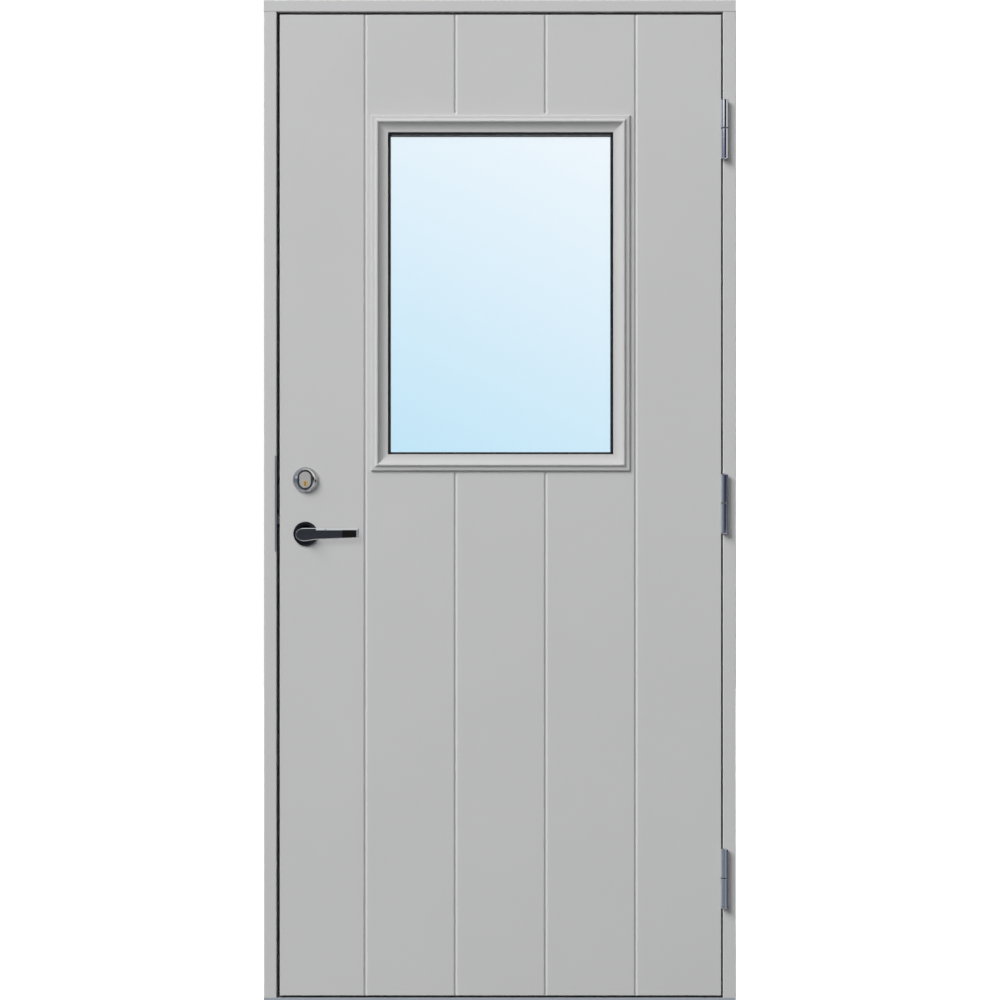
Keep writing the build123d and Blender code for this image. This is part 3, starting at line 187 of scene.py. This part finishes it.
def coatedGlass():
    # Float glass with a solar control coating: clear, with a pale blue cast. Painted shade: the cast
    # is made deeper low down and at the left, standing for the fall of light across what shows through
    # the glass
    look = glassLook
    material, tree, place = startMaterial("coated_float_glass")
    parts = addNode(tree, "SeparateXYZ", {"Vector": place}).outputs
    # Painted shade: the tint darkens towards the bottom and the left of the glass
    up = addNode(tree, "MapRange", {
        "Value": parts["Z"], "From Min": glassLow.z, "From Max": glassHigh.z,
        "To Max": 1 - look["across"],
    })
    right = addNode(tree, "MapRange", {
        "Value": parts["X"], "From Min": glassLow.x, "From Max": glassHigh.x,
        "To Max": look["across"],
    })
    both = addNode(tree, "Math", {0: up, 1: right}, operation="ADD")
    low, high = colour(look["low"]), colour(look["high"])
    cast = addNode(tree, "Mix", {"Factor": both, "A": low, "B": high}, data_type="RGBA")
    finishMaterial(tree, {
        "Base Color": cast.outputs["Result"], "Roughness": 0.0, "IOR": look["ior"],
        "Transmission Weight": 1.0,
    })
    return material


def clearGlass():
    # Plain float glass behind the coated pane, with the faintest haze
    look = glassLook
    material, tree, place = startMaterial("clear_float_glass")
    haze = addNode(tree, "TexNoise", {"Vector": place, "Scale": perMetre(look["hazeSize"])})
    gloss = addNode(tree, "MapRange", {"Value": haze, "To Min": 0.0, "To Max": look["hazeRoughness"]})
    finishMaterial(tree, {
        "Base Color": colour(look["clear"]), "Roughness": gloss, "IOR": look["ior"],
        "Transmission Weight": 1.0,
    })
    return material


# Each metal: the two tones that it drifts between, its roughness, how much of it mirrors, and its
# tool marks, with their size in millimetres, how far they run along each axis, and their depth in
# millimetres
metalLook = {
    "anodised_aluminium": {
        # Extruded and anodised: a pale bluish grey that scatters, with die lines along its length
        "tones": ("bfc6ce", "cdd3da"), "roughness": (0.36, 0.46), "metallic": 0.6,
        "marks": 0.9, "along": (400, 1, 1), "depth": 0.01,
    },
    "bright_zinc_plating": {
        # Barrel plated and clear passivated: a mirror with a blue cast that drifts to lilac
        "tones": ("ccd3df", "d6d6de"), "roughness": (0.05, 0.09), "metallic": 1.0,
        "marks": 22.0, "along": (1, 1, 2.5), "depth": 0.004,
    },
    "zinc_plated_screw_steel": {
        # Headed and rolled wire, zinc plated: grey and slightly dull
        "tones": ("a9adb2", "bfc2c6"), "roughness": (0.22, 0.34), "metallic": 0.85,
        "marks": 0.6, "along": (1, 1, 1), "depth": 0.006,
    },
    "plated_sheet_steel": {
        # Pressed sheet, electroplated: a scattered grey with a rolling grain
        "tones": ("8f969f", "a2a8b0"), "roughness": (0.34, 0.46), "metallic": 0.7,
        "marks": 0.7, "along": (1, 1, 14), "depth": 0.006,
    },
    "nickel_plated_steel": {
        # Milled, tumbled and nickel plated: warm grey with a soft mirror
        "tones": ("b9b8b4", "cbcac6"), "roughness": (0.16, 0.26), "metallic": 0.9,
        "marks": 0.7, "along": (14, 1, 1), "depth": 0.006,
    },
    "black_chrome_lever": {
        # Polished zinc casting under black chrome: a dark mirror with a blue-grey cast
        "tones": ("aeb1b7", "b7babf"), "roughness": (0.07, 0.12), "metallic": 1.0,
        "marks": 14.0, "along": (1, 1, 1), "depth": 0.004,
        # Painted reflection: a browner dark stretch on the grip's front face near its end, standing
        # for a dark reflection. How far it is from the end, how long it is and how deep
        "gripReflectionTone": "6e655f", "gripEnd": 6.0, "gripLength": 29.0, "gripDepth": 0.4,
    },
    "black_chrome_rose": {
        # Turned brass under a deeper black chrome
        "tones": ("24272c", "2b2e33"), "roughness": (0.05, 0.09), "metallic": 1.0,
        "marks": 14.0, "along": (1, 1, 1), "depth": 0.002,
    },
    "satin_chrome": {
        # Turned, brushed lightly and chromed: neutral, with soft highlights
        "tones": ("b4b5b7", "c2c2c3"), "roughness": (0.13, 0.2), "metallic": 1.0,
        "marks": 0.5, "along": (1, 8, 1), "depth": 0.003,
    },
    "blasted_nickel": {
        # Bead blasted and nickel plated: scatters light, so it stays pale from every side
        "tones": ("c4c2c0", "d2d0cd"), "roughness": (0.4, 0.5), "metallic": 0.55,
        "marks": 0.4, "along": (1, 1, 1), "depth": 0.006,
    },
}


def metal(name):
    look = metalLook[name]
    material, tree, place = startMaterial(name)
    drawn = addNode(tree, "Mapping", {"Vector": place, "Scale": [1 / run for run in look["along"]]})
    marks = addNode(tree, "TexNoise", {"Vector": drawn, "Scale": perMetre(look["marks"]), "Detail": 3})
    first, second = map(colour, look["tones"])
    drift = {"Factor": marks, "A": first, "B": second}
    tone = addNode(tree, "Mix", drift, data_type="RGBA").outputs["Result"]
    # Painted reflection: the grip's front face is made darker and browner along a stretch near its end
    if "gripReflectionTone" in look:
        half = metres(look["gripLength"]) / 2
        middle = leverHigh.x - metres(look["gripEnd"]) - half
        deep = metres(look["gripDepth"])
        parts = addNode(tree, "SeparateXYZ", {"Vector": place}).outputs
        along = addNode(tree, "Math", {0: parts["X"], 1: middle, 2: half}, operation="COMPARE")
        atFace = addNode(tree, "Math", {0: parts["Y"], 1: leverLow.y, 2: deep}, operation="COMPARE")
        paintedReflectionMask = addNode(tree, "Math", {0: along, 1: atFace}, operation="MULTIPLY")
        grip = {"Factor": paintedReflectionMask, "A": tone, "B": colour(look["gripReflectionTone"])}
        tone = addNode(tree, "Mix", grip, data_type="RGBA").outputs["Result"]
    fine, rough = look["roughness"]
    gloss = addNode(tree, "MapRange", {"Value": marks, "To Min": fine, "To Max": rough})
    relief = addNode(tree, "Bump", {"Height": marks, "Distance": metres(look["depth"])})
    finishMaterial(tree, {
        "Base Color": tone, "Metallic": look["metallic"], "Roughness": gloss, "Normal": relief,
    })
    return material


brassLook = {
    "tones": ("e0b870", "f2d8a4"),
    "roughness": (0.22, 0.32),
    "metallic": 0.5,
    "circles": 1.2,  # from one tool mark to the next, in millimetres
    "waver": 0.5,
    "depth": 0.008,  # in millimetres
}


def turnedBrass():
    # Turned brass, worn bright by the key: warm yellow with fine circles
    look = brassLook
    material, tree, place = startMaterial("turned_brass")
    centred = addNode(tree, "Mapping", {"Vector": place, "Location": -(plugLow + plugHigh) / 2})
    turned = {
        "Vector": centred, "Scale": perMetre(look["circles"]) / math.tau, "Distortion": look["waver"],
    }
    circles = addNode(tree, "TexWave", turned, wave_type="RINGS", rings_direction="Y")
    first, second = map(colour, look["tones"])
    tone = addNode(tree, "Mix", {"Factor": circles, "A": first, "B": second}, data_type="RGBA")
    fine, rough = look["roughness"]
    gloss = addNode(tree, "MapRange", {"Value": circles, "To Min": fine, "To Max": rough})
    relief = addNode(tree, "Bump", {"Height": circles, "Distance": metres(look["depth"])})
    finishMaterial(tree, {
        "Base Color": tone.outputs["Result"], "Metallic": look["metallic"], "Roughness": gloss,
        "Normal": relief,
    })
    return material


oakLook = {
    "tones": ("80592f", "c0925c"),
    "roughness": (0.42, 0.6),
    "specular": 0.4,
    "grain": 9.0,  # width of the grain in millimetres
    "grainContrast": 0.6,
    "run": 25,  # grain and pores are this many times as long as wide
    "pores": 0.8,  # their width and depth in millimetres
    "poreDepth": 0.06,
}


def oiledOak():
    # Planed oak with oil: warm brown, with grain and pores along the threshold
    look = oakLook
    material, tree, place = startMaterial("oiled_oak")
    drawn = addNode(tree, "Mapping", {"Vector": place, "Scale": (1 / look["run"], 1, 1)})
    grain = addNode(tree, "TexNoise", {
        "Vector": drawn, "Scale": perMetre(look["grain"]), "Detail": 5,
        "Roughness": look["grainContrast"],
    })
    pores = addNode(tree, "TexNoise", {"Vector": drawn, "Scale": perMetre(look["pores"])})
    first, second = map(colour, look["tones"])
    tone = addNode(tree, "Mix", {"Factor": grain, "A": first, "B": second}, data_type="RGBA")
    fine, rough = look["roughness"]
    gloss = addNode(tree, "MapRange", {"Value": pores, "To Min": fine, "To Max": rough})
    relief = addNode(tree, "Bump", {"Height": pores, "Distance": metres(look["poreDepth"])})
    finishMaterial(tree, {
        "Base Color": tone.outputs["Result"], "Roughness": gloss, "Normal": relief,
        "Specular IOR Level": look["specular"],
    })
    return material


# Rubbers and plastics: two tones, the roughness, and the grain's size and depth in millimetres
polymerLook = {
    "seal_epdm": {
        # Extruded rubber, near black and dull
        "tones": ("242426", "2e2e30"), "roughness": (0.5, 0.66), "grain": 1.2, "depth": 0.01,
    },
    "gasket_epdm": {
        # Denser extruded rubber beside the glass
        "tones": ("08080a", "101012"), "roughness": (0.42, 0.55), "grain": 1.0, "depth": 0.008,
    },
    "moulded_nylon": {
        # Injection moulded washer, black, with a fine sparked grain
        "tones": ("121214", "1b1b1d"), "roughness": (0.4, 0.55), "grain": 0.9, "depth": 0.01,
    },
    "warm_edge_spacer": {
        # Black composite strip between the panes, matt so that the glass edge stays quiet
        "tones": ("0c0c0d", "141416"), "roughness": (0.55, 0.7), "grain": 0.9, "depth": 0.01,
    },
    "moulded_polypropylene": {
        # Setting blocks under the glass
        "tones": ("26272a", "303134"), "roughness": (0.45, 0.6), "grain": 0.9, "depth": 0.02,
    },
    "rigid_polystyrene_foam": {
        # Closed cells, cream, dull
        "tones": ("e2dabb", "efe9cf"), "roughness": (0.7, 0.85), "grain": 2.5, "depth": 0.2,
    },
}


def polymer(name):
    look = polymerLook[name]
    material, tree, place = startMaterial(name)
    grain = addNode(tree, "TexNoise", {"Vector": place, "Scale": perMetre(look["grain"])})
    first, second = map(colour, look["tones"])
    tone = addNode(tree, "Mix", {"Factor": grain, "A": first, "B": second}, data_type="RGBA")
    fine, rough = look["roughness"]
    gloss = addNode(tree, "MapRange", {"Value": grain, "To Min": fine, "To Max": rough})
    relief = addNode(tree, "Bump", {"Height": grain, "Distance": metres(look["depth"])})
    finishMaterial(tree, {"Base Color": tone.outputs["Result"], "Roughness": gloss, "Normal": relief})
    return material


metals = {name: metal(name) for name in metalLook}
polymers = {name: polymer(name) for name in polymerLook}

dress(
    satinPaint("satin_enamel_on_timber", paintLook["frameTone"]),
    "jamb_lock_side", "jamb_hinge_side", "frame_head",
)
dress(
    satinPaint("satin_enamel_on_fibreboard", paintLook["leafTone"]),
    "leaf_outer_skin", "leaf_inner_skin", "leaf_stile_lock", "leaf_stile_hinge", "leaf_rail_top",
    "leaf_rail_bottom",
)
trimPaint = satinPaint("satin_enamel_on_moulding", paintLook["trimTone"])
dress(trimPaint, "glazing_trim_outer", "glazing_trim_inner")
dress(coatedGlass(), "glass_outer")
dress(clearGlass(), "glass_middle", "glass_inner")
dress(oiledOak(), "threshold_core")
dress(turnedBrass(), "key_plug")
dress(metals["anodised_aluminium"], "threshold_cap")
dress(polymers["rigid_polystyrene_foam"], "leaf_core")
dress(polymers["seal_epdm"], "seal_head", "seal_lock_side", "seal_hinge_side", "seal_threshold")
dress(polymers["gasket_epdm"], "glazing_gasket_outer", "glazing_gasket_inner")
dress(polymers["moulded_polypropylene"], "setting_blocks")
dress(polymers["moulded_nylon"], "hinge_washers")
dress(polymers["warm_edge_spacer"], "glass_spacers")
for level in ("top", "middle", "bottom"):
    dress(metals["bright_zinc_plating"], f"hinge_{level}_frame_half", f"hinge_{level}_leaf_half")
dress(metals["bright_zinc_plating"], "hinge_pins", "hinge_top_caps", "hinge_foot_caps")
dress(
    metals["plated_sheet_steel"], "lock_case", "lock_case_cover", "lock_forend", "strike_plate",
    "lever_follower", "spindle",
)
dress(metals["nickel_plated_steel"], "latch_bolt", "dead_bolt")
dress(metals["black_chrome_lever"], "outer_lever", "inner_lever")
dress(metals["black_chrome_rose"], "outer_rose", "inner_rose")
dress(metals["satin_chrome"], "cylinder_ring", "turn_plate", "thumb_turn")
dress(metals["blasted_nickel"], "cylinder_body")
dress(metals["zinc_plated_screw_steel"], "frame_corner_screws")
print("materials on")


# Screws: each node's plain screws get heads with a six-lobed drive recess

screwLook = {
    "lobes": 6,
    "lobeCorners": 4,  # corners of the recess in each lobe, an even number
    "recess": 0.54,  # radius of the recess, as a share of the head's
    "lobe": 0.16,  # how far a lobe stands out, and the hollow between two stands in
    "recessDepth": 0.42,  # as a share of the head's radius
    "recessTaper": 0.8,
    "rim": 0.05,  # small chamfer round the head
    "point": 0.3,  # radius of the tip, as a share of the shank's
    "pointLength": 1.6,  # as a share of the shank's radius
    "slot": "screw_steel",
    "bodies": {
        "strike_screws": "frame",
        "hinge_frame_screws": "frame",
        "hinge_leaf_screws": "leaf",
        "glazing_screws": "leaf",
        "forend_screws": "leaf",
        "cylinder_screws": "leaf",
    },
}


def solidsOf(node):
    # The points of each separate solid of a node, from a merged copy of its mesh
    shape = bmesh.new()
    shape.from_mesh(nodes[node].data)
    bmesh.ops.remove_doubles(shape, verts=shape.verts, dist=weldDistance)
    waiting = dict.fromkeys(shape.verts)  # keeps their order, so that each run is the same
    solids = []
    while waiting:
        found = [waiting.popitem()[0]]
        for vert in found:
            for edge in vert.link_edges:
                other = edge.other_vert(vert)
                if other in waiting:
                    del waiting[other]
                    found.append(other)
        solids.append([vert.co.copy() for vert in found])
    shape.free()
    return solids


def measureScrew(points):
    # Where the head's middle is, which way it faces, and the outline from head to point: how deep
    # each ring of points lies, to a hundredth of a millimetre, and its radius
    low = Vector(map(min, *points))
    high = Vector(map(max, *points))
    axis = max(range(3), key=lambda index: high[index] - low[index])
    middle = (low + high) / 2
    outline = {}
    for point in points:
        offset = point - middle
        offset[axis] = 0.0
        height = round(point[axis], 5)
        outline[height] = max(outline.get(height, 0.0), offset.length)
    heights = sorted(outline)
    side = 1 if outline[heights[-1]] > outline[heights[0]] else -1
    if side == 1:
        heights.reverse()
    outward = Vector((0, 0, 0))
    outward[axis] = side
    head = middle.copy()
    head[axis] = heights[0]
    return head, outward, [(abs(height - heights[0]), outline[height]) for height in heights]


def screwTemplate(outline):
    # One screw on the Z axis with its head's face at zero
    look = screwLook
    shape = bmesh.new()
    corners = look["lobes"] * look["lobeCorners"]
    headRadius = outline[0][1]
    flatRadius = headRadius * (1 - look["rim"])
    recessRadius = headRadius * look["recess"]
    bmesh.ops.create_circle(shape, segments=corners, radius=flatRadius)
    recess = bmesh.ops.create_circle(shape, segments=corners, radius=recessRadius)["verts"]
    for start, share in ((0, 1 + look["lobe"]), (look["lobeCorners"] // 2, 1 - look["lobe"])):
        bmesh.ops.scale(shape, verts=recess[start::look["lobeCorners"]], vec=(share, share, 1))
    recessRim = [edge for edge in shape.edges if edge.verts[0] in recess]
    rim = [edge for edge in shape.edges if edge not in recessRim]
    bmesh.ops.bridge_loops(shape, edges=rim + recessRim)
    tip, shank = outline[-1]
    steps = [
        (headRadius * look["rim"], headRadius), *outline[1:-1],
        (tip - shank * look["pointLength"], shank), (tip, shank * look["point"]),
    ]
    lastDepth, lastRadius = 0.0, flatRadius
    for depth, radius in steps:
        ring, rim = extrudeRing(shape, rim)
        share = radius / lastRadius
        bmesh.ops.scale(shape, verts=ring, vec=(share, share, 1))
        bmesh.ops.translate(shape, verts=ring, vec=(0, 0, lastDepth - depth))
        lastDepth, lastRadius = depth, radius
    bmesh.ops.edgeloop_fill(shape, edges=rim)
    ring, recessRim = extrudeRing(shape, recessRim)
    bmesh.ops.scale(shape, verts=ring, vec=(look["recessTaper"], look["recessTaper"], 1))
    bmesh.ops.translate(shape, verts=ring, vec=(0, 0, -headRadius * look["recessDepth"]))
    bmesh.ops.edgeloop_fill(shape, edges=recessRim)
    bmesh.ops.recalc_face_normals(shape, faces=shape.faces)
    mesh = bpy.data.meshes.new("screw_template")
    shape.to_mesh(mesh)
    shape.free()
    return mesh


def makeScrews(node, body):
    shape = bmesh.new()
    for points in solidsOf(node):
        head, outward, outline = measureScrew(points)
        template = screwTemplate(outline)
        known = len(shape.verts)
        shape.from_mesh(template)
        shape.verts.ensure_lookup_table()
        place = Matrix.Translation(head) @ outward.to_track_quat("Z", "Y").to_matrix().to_4x4()
        bmesh.ops.transform(shape, matrix=place, verts=shape.verts[known:])
        bpy.data.meshes.remove(template)
    piece = newPiece(shape, node + "_recessed", metals["zinc_plated_screw_steel"])
    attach(piece, body)
    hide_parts(node)


for node, body in screwLook["bodies"].items():
    makeScrews(node, body)
print("screws made")


# Outer trim: its fine steps, which the plain section has as one slope

trimLook = {
    "slot": "trim_plastic",
    # Each corner's inset from the outer edge and height off the leaf, in millimetres, and how far
    # the stretch before it swells
    "front": (
        (0.0, 0.0, 0.0), (0.0, 2.6, 0.0), (3.4, 5.8, 1.1), (7.2, 6.2, 0.0), (11.4, 10.2, -0.5),
        (15.5, 9.0, 0.8), (35.0, 0.0, -2.4),
    ),
    "hollow": ((18.0, 2.5), (14.5, 6.5), (11.0, 6.5), (2.5, 1.5), (2.5, 0.0)),
    "steps": 8,  # in each stretch of the front
}


def trimSection(leg):
    # From the outer edge over the front to the glass, back along the leg and through the hollow.
    # The leg's length behind the leaf's face comes in millimetres, and the section is in metres
    look = trimLook
    section = [Vector((0.0, 0.0))]
    for (startIn, startHigh, _), (endIn, endHigh, swell) in zip(look["front"], look["front"][1:]):
        start, end = Vector((startIn, startHigh)), Vector((endIn, endHigh))
        outward = Vector((startHigh - endHigh, endIn - startIn)).normalized()
        for step in range(1, look["steps"] + 1):
            share = step / look["steps"]
            bow = 4 * share * (1 - share)  # nothing at the ends and one half way
            section.append(start.lerp(end, share) + outward * swell * bow)
    glassSide, legSide = look["front"][-1][0], look["hollow"][0][0]
    back = ((glassSide, -leg), (legSide, -leg), *look["hollow"], (0.0, 0.0))
    return [metres(place) for place in section + [Vector(corner) for corner in back]]


def makeTrim(node, body):
    low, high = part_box(node)
    middle, half = (low + high) / 2, (high - low) / 2
    shape = bmesh.new()
    bmesh.ops.create_grid(shape, x_segments=1, y_segments=1, size=1.0)
    bmesh.ops.delete(shape, geom=shape.faces[:], context="FACES_ONLY")
    bmesh.ops.rotate(shape, verts=shape.verts, matrix=Matrix.Rotation(math.pi / 2, 3, "X"))
    bmesh.ops.scale(shape, verts=shape.verts, vec=(half.x, 1, half.z))
    rim = shape.edges[:]
    lastIn, lastHigh = 0.0, 0.0
    for inset, height in trimSection(1000 * (high.y - leafFace))[1:]:
        ring, rim = extrudeRing(shape, rim)
        shares = ((half.x - inset) / (half.x - lastIn), 1, (half.z - inset) / (half.z - lastIn))
        bmesh.ops.scale(shape, verts=ring, vec=shares)
        bmesh.ops.translate(shape, verts=ring, vec=(0, lastHigh - height, 0))
        lastIn, lastHigh = inset, height
    bmesh.ops.remove_doubles(shape, verts=shape.verts, dist=weldDistance)
    bmesh.ops.recalc_face_normals(shape, faces=shape.faces)
    bmesh.ops.translate(shape, verts=shape.verts, vec=(middle.x, leafFace, middle.z))
    piece = newPiece(shape, node + "_stepped", trimPaint)
    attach(piece, body)
    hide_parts(node)


makeTrim("glazing_trim_outer", "leaf")
print("outer trim made")


# Stage: a pale floor, a large soft light from the upper left, a small one in front, one behind,
# and a room for the metal to mirror. Lengths are in metres and powers in watts

stageLook = {
    "floorSize": 20.0,
    "floorTone": "c8c8c8",
    "floorRoughness": 0.9,
    "floorGlow": 0.82,  # its own light, so that it stays pale
    "backdrop": 1.07,  # this, the fill and the room are strengths
    "fill": 0.13,
    "fillTone": "f4f6ff",
    "room": 1.3,
    "aim": (0.0, 0.0, 1.05),  # where the lights point, about the door's middle
    "key": {"way": (-0.54, -0.58, 0.61), "far": 22.0, "size": 12.8, "power": 5750.0},
    "front": {"way": (-0.08, -0.97, 0.22), "far": 12.0, "size": 2.4, "power": 240.0},
    "back": {"way": (0.33, 0.8, 0.5), "far": 11.0, "size": 5.0, "power": 1300.0},
    "cameraDistance": 6.0,
    "pictureWidth": 2.0862,  # across the picture at the leaf's face
    "cameraX": 0.0004,
    "cameraZ": 1.0465,
    "sensorWidth": 36.0,  # in millimetres, as the lens
}

# The room at eye level, and a bright card that stands only in its lower part: tones by degrees
# from straight ahead (minus is the left)
eyeLevel = (
    (-180, "4a5058"), (-150, "7c8696"), (-70, "7b8596"), (-30, "636875"), (-12, "3d3e44"),
    (0, "35373c"), (20, "303238"), (44, "3a3c40"), (57, "55575b"), (90, "55575b"), (104, "2a2c30"),
    (107, "84868a"), (112, "84868a"), (117, "2c2e33"), (180, "4a5058"),
)
card = ((48, "f0f0ec"), (53, "f0f0ec"))

# What stands round the door, from the floor up: how far up or down a ray looks where each band
# begins and where it is whole, as the Z of its direction, and the band's tones
roomLook = (
    (-2.0, -1.0, ((0, "d4d4d0"),)),
    (-0.97, -0.93, (
        (-180, "5a5d63"), (-120, "9a9da3"), (-55, "9a9da3"), (-20, "85888d"), (28, "85888d"),
        (36, "d8d8d4"), (66, "d8d8d4"), (74, "85888d"), (120, "6b6e74"), (180, "5a5d63"),
    )),
    (-0.25, -0.2, (
        (-180, "30353c"), (-140, "66737f"), (-70, "75848f"), (-20, "747e88"), (-14, "717579"),
        (22, "717579"), (28, "b4b5b4"), (46, "b4b5b4"), (50, "5a5d62"), (60, "0a0b0d"), (76, "0a0b0d"),
        (84, "5c6066"), (110, "5c6066"), (130, "23262b"), (180, "30353c"),
    )),
    (-0.05, -0.03, sorted(eyeLevel + card)),
    (-0.0108, -0.0102, eyeLevel),
    (0.03, 0.05, (
        (-180, "3a3f47"), (-140, "5c6578"), (-100, "525c74"), (-66, "5c6580"), (-14, "84829a"),
        (-11, "08090b"), (38, "08090b"), (42, "c4c3bd"), (108, "c4c3bd"), (114, "2a2d32"),
        (180, "4a5058"),
    )),
    (0.1268, 0.1284, (
        (-180, "3a3f47"), (-140, "5c6578"), (-100, "566078"), (-66, "5c667c"), (-63, "fffdf7"),
        (-14, "fffdf7"), (-11, "08090b"), (38, "08090b"), (42, "c4c3bd"), (108, "c4c3bd"),
        (114, "2a2d32"), (180, "4a5058"),
    )),
    (0.2, 0.26, (
        (-180, "5a5d63"), (-120, "a4a7ad"), (-55, "a4a7ad"), (-20, "8a8d92"), (28, "8a8d92"),
        (36, "f8f8f4"), (66, "f8f8f4"), (74, "8a8d92"), (120, "6b6e74"), (180, "5a5d63"),
    )),
    (0.93, 0.96, ((0, "f8f8f4"),)),
)


def makeFloor():
    look = stageLook
    material, tree, _ = startMaterial("pale_studio_floor")
    finishMaterial(tree, {
        "Base Color": colour(look["floorTone"]), "Roughness": look["floorRoughness"],
        "Specular IOR Level": 0.0, "Emission Color": colour(white),
        "Emission Strength": look["floorGlow"],
    })
    shape = bmesh.new()
    bmesh.ops.create_grid(shape, x_segments=1, y_segments=1, size=look["floorSize"] / 2)
    floor = newPiece(shape, "studio_floor", material)
    floor.visible_diffuse = False
    floor.visible_glossy = False
    floor.visible_transmission = False


def makeWorld():
    # The camera sees a plain white backdrop, matt surfaces get a weak even fill, and mirrors see
    # the room
    look = stageLook
    world = bpy.data.worlds.new("studio")
    world.use_nodes = True
    tree = world.node_tree
    tree.nodes.clear()
    way = addNode(tree, "TexCoord").outputs["Generated"]
    parts = addNode(tree, "SeparateXYZ", {"Vector": way}).outputs
    ahead = addNode(tree, "Math", {0: parts["Y"], 1: -1.0}, operation="MULTIPLY")
    turn = addNode(tree, "Math", {0: parts["X"], 1: ahead}, operation="ARCTAN2")
    compass = addNode(tree, "MapRange", {"Value": turn, "From Min": -math.pi, "From Max": math.pi})
    seen = None
    for begins, whole, tones in roomLook:
        stops = [(0.5 + degrees / 360, tone) for degrees, tone in tones]
        band = addNode(tree, "ValToRGB", {"Fac": compass}, stops)
        share = addNode(tree, "MapRange", {
            "Value": parts["Z"], "From Min": begins, "From Max": whole,
        })
        both = {"Factor": share, "A": seen or band, "B": band}
        seen = addNode(tree, "Mix", both, data_type="RGBA").outputs["Result"]
    fill = addNode(tree, "Background", {"Color": colour(look["fillTone"]), "Strength": look["fill"]})
    room = addNode(tree, "Background", {"Color": seen, "Strength": look["room"]})
    backdrop = addNode(tree, "Background", {"Color": colour(white), "Strength": look["backdrop"]})
    rays = addNode(tree, "LightPath").outputs
    seenDirectly = {0: rays["Is Camera Ray"], 1: rays["Is Transmission Ray"]}
    direct = addNode(tree, "Math", seenDirectly, operation="MAXIMUM")
    mirrored = addNode(tree, "MixShader", {0: rays["Is Glossy Ray"], 1: fill, 2: room})
    final = addNode(tree, "MixShader", {0: direct, 1: mirrored, 2: backdrop})
    addNode(tree, "OutputWorld", {"Surface": final})
    bpy.context.scene.world = world


def makeLight(name):
    look = stageLook[name]
    data = bpy.data.lights.new(name + "_softbox", "AREA")
    data.size = look["size"]
    data.energy = look["power"]
    light = bpy.data.objects.new(name + "_softbox", data)
    way = Vector(look["way"]).normalized()
    light.location = Vector(stageLook["aim"]) + way * look["far"]
    light.rotation_euler = way.to_track_quat("Z", "Y").to_euler()
    light.visible_glossy = False
    light.visible_transmission = False
    bpy.context.scene.collection.objects.link(light)
    return light


def passLevers(light):
    # The light goes past the levers, whose long shadow would fall far from them
    past = bpy.data.collections.new("levers_cast_no_key_shadow")
    for name in ("outer_lever", "inner_lever"):
        past.objects.link(nodes[name])
    for member in past.collection_objects:
        member.light_linking.link_state = "EXCLUDE"
    light.light_linking.blocker_collection = past


def makeCamera():
    look = stageLook
    data = bpy.data.cameras.new("camera")
    data.sensor_width = look["sensorWidth"]
    data.lens = look["sensorWidth"] * look["cameraDistance"] / look["pictureWidth"]
    camera = bpy.data.objects.new("camera", data)
    camera.location = (look["cameraX"], leafFace - look["cameraDistance"], look["cameraZ"])
    camera.rotation_euler = (math.radians(90), 0, 0)
    bpy.context.scene.collection.objects.link(camera)
    bpy.context.scene.camera = camera


makeFloor()
makeWorld()
passLevers(makeLight("key"))
makeLight("front")
makeLight("back")
makeCamera()
bpy.context.scene.view_settings.view_transform = "Standard"
print("stage made")
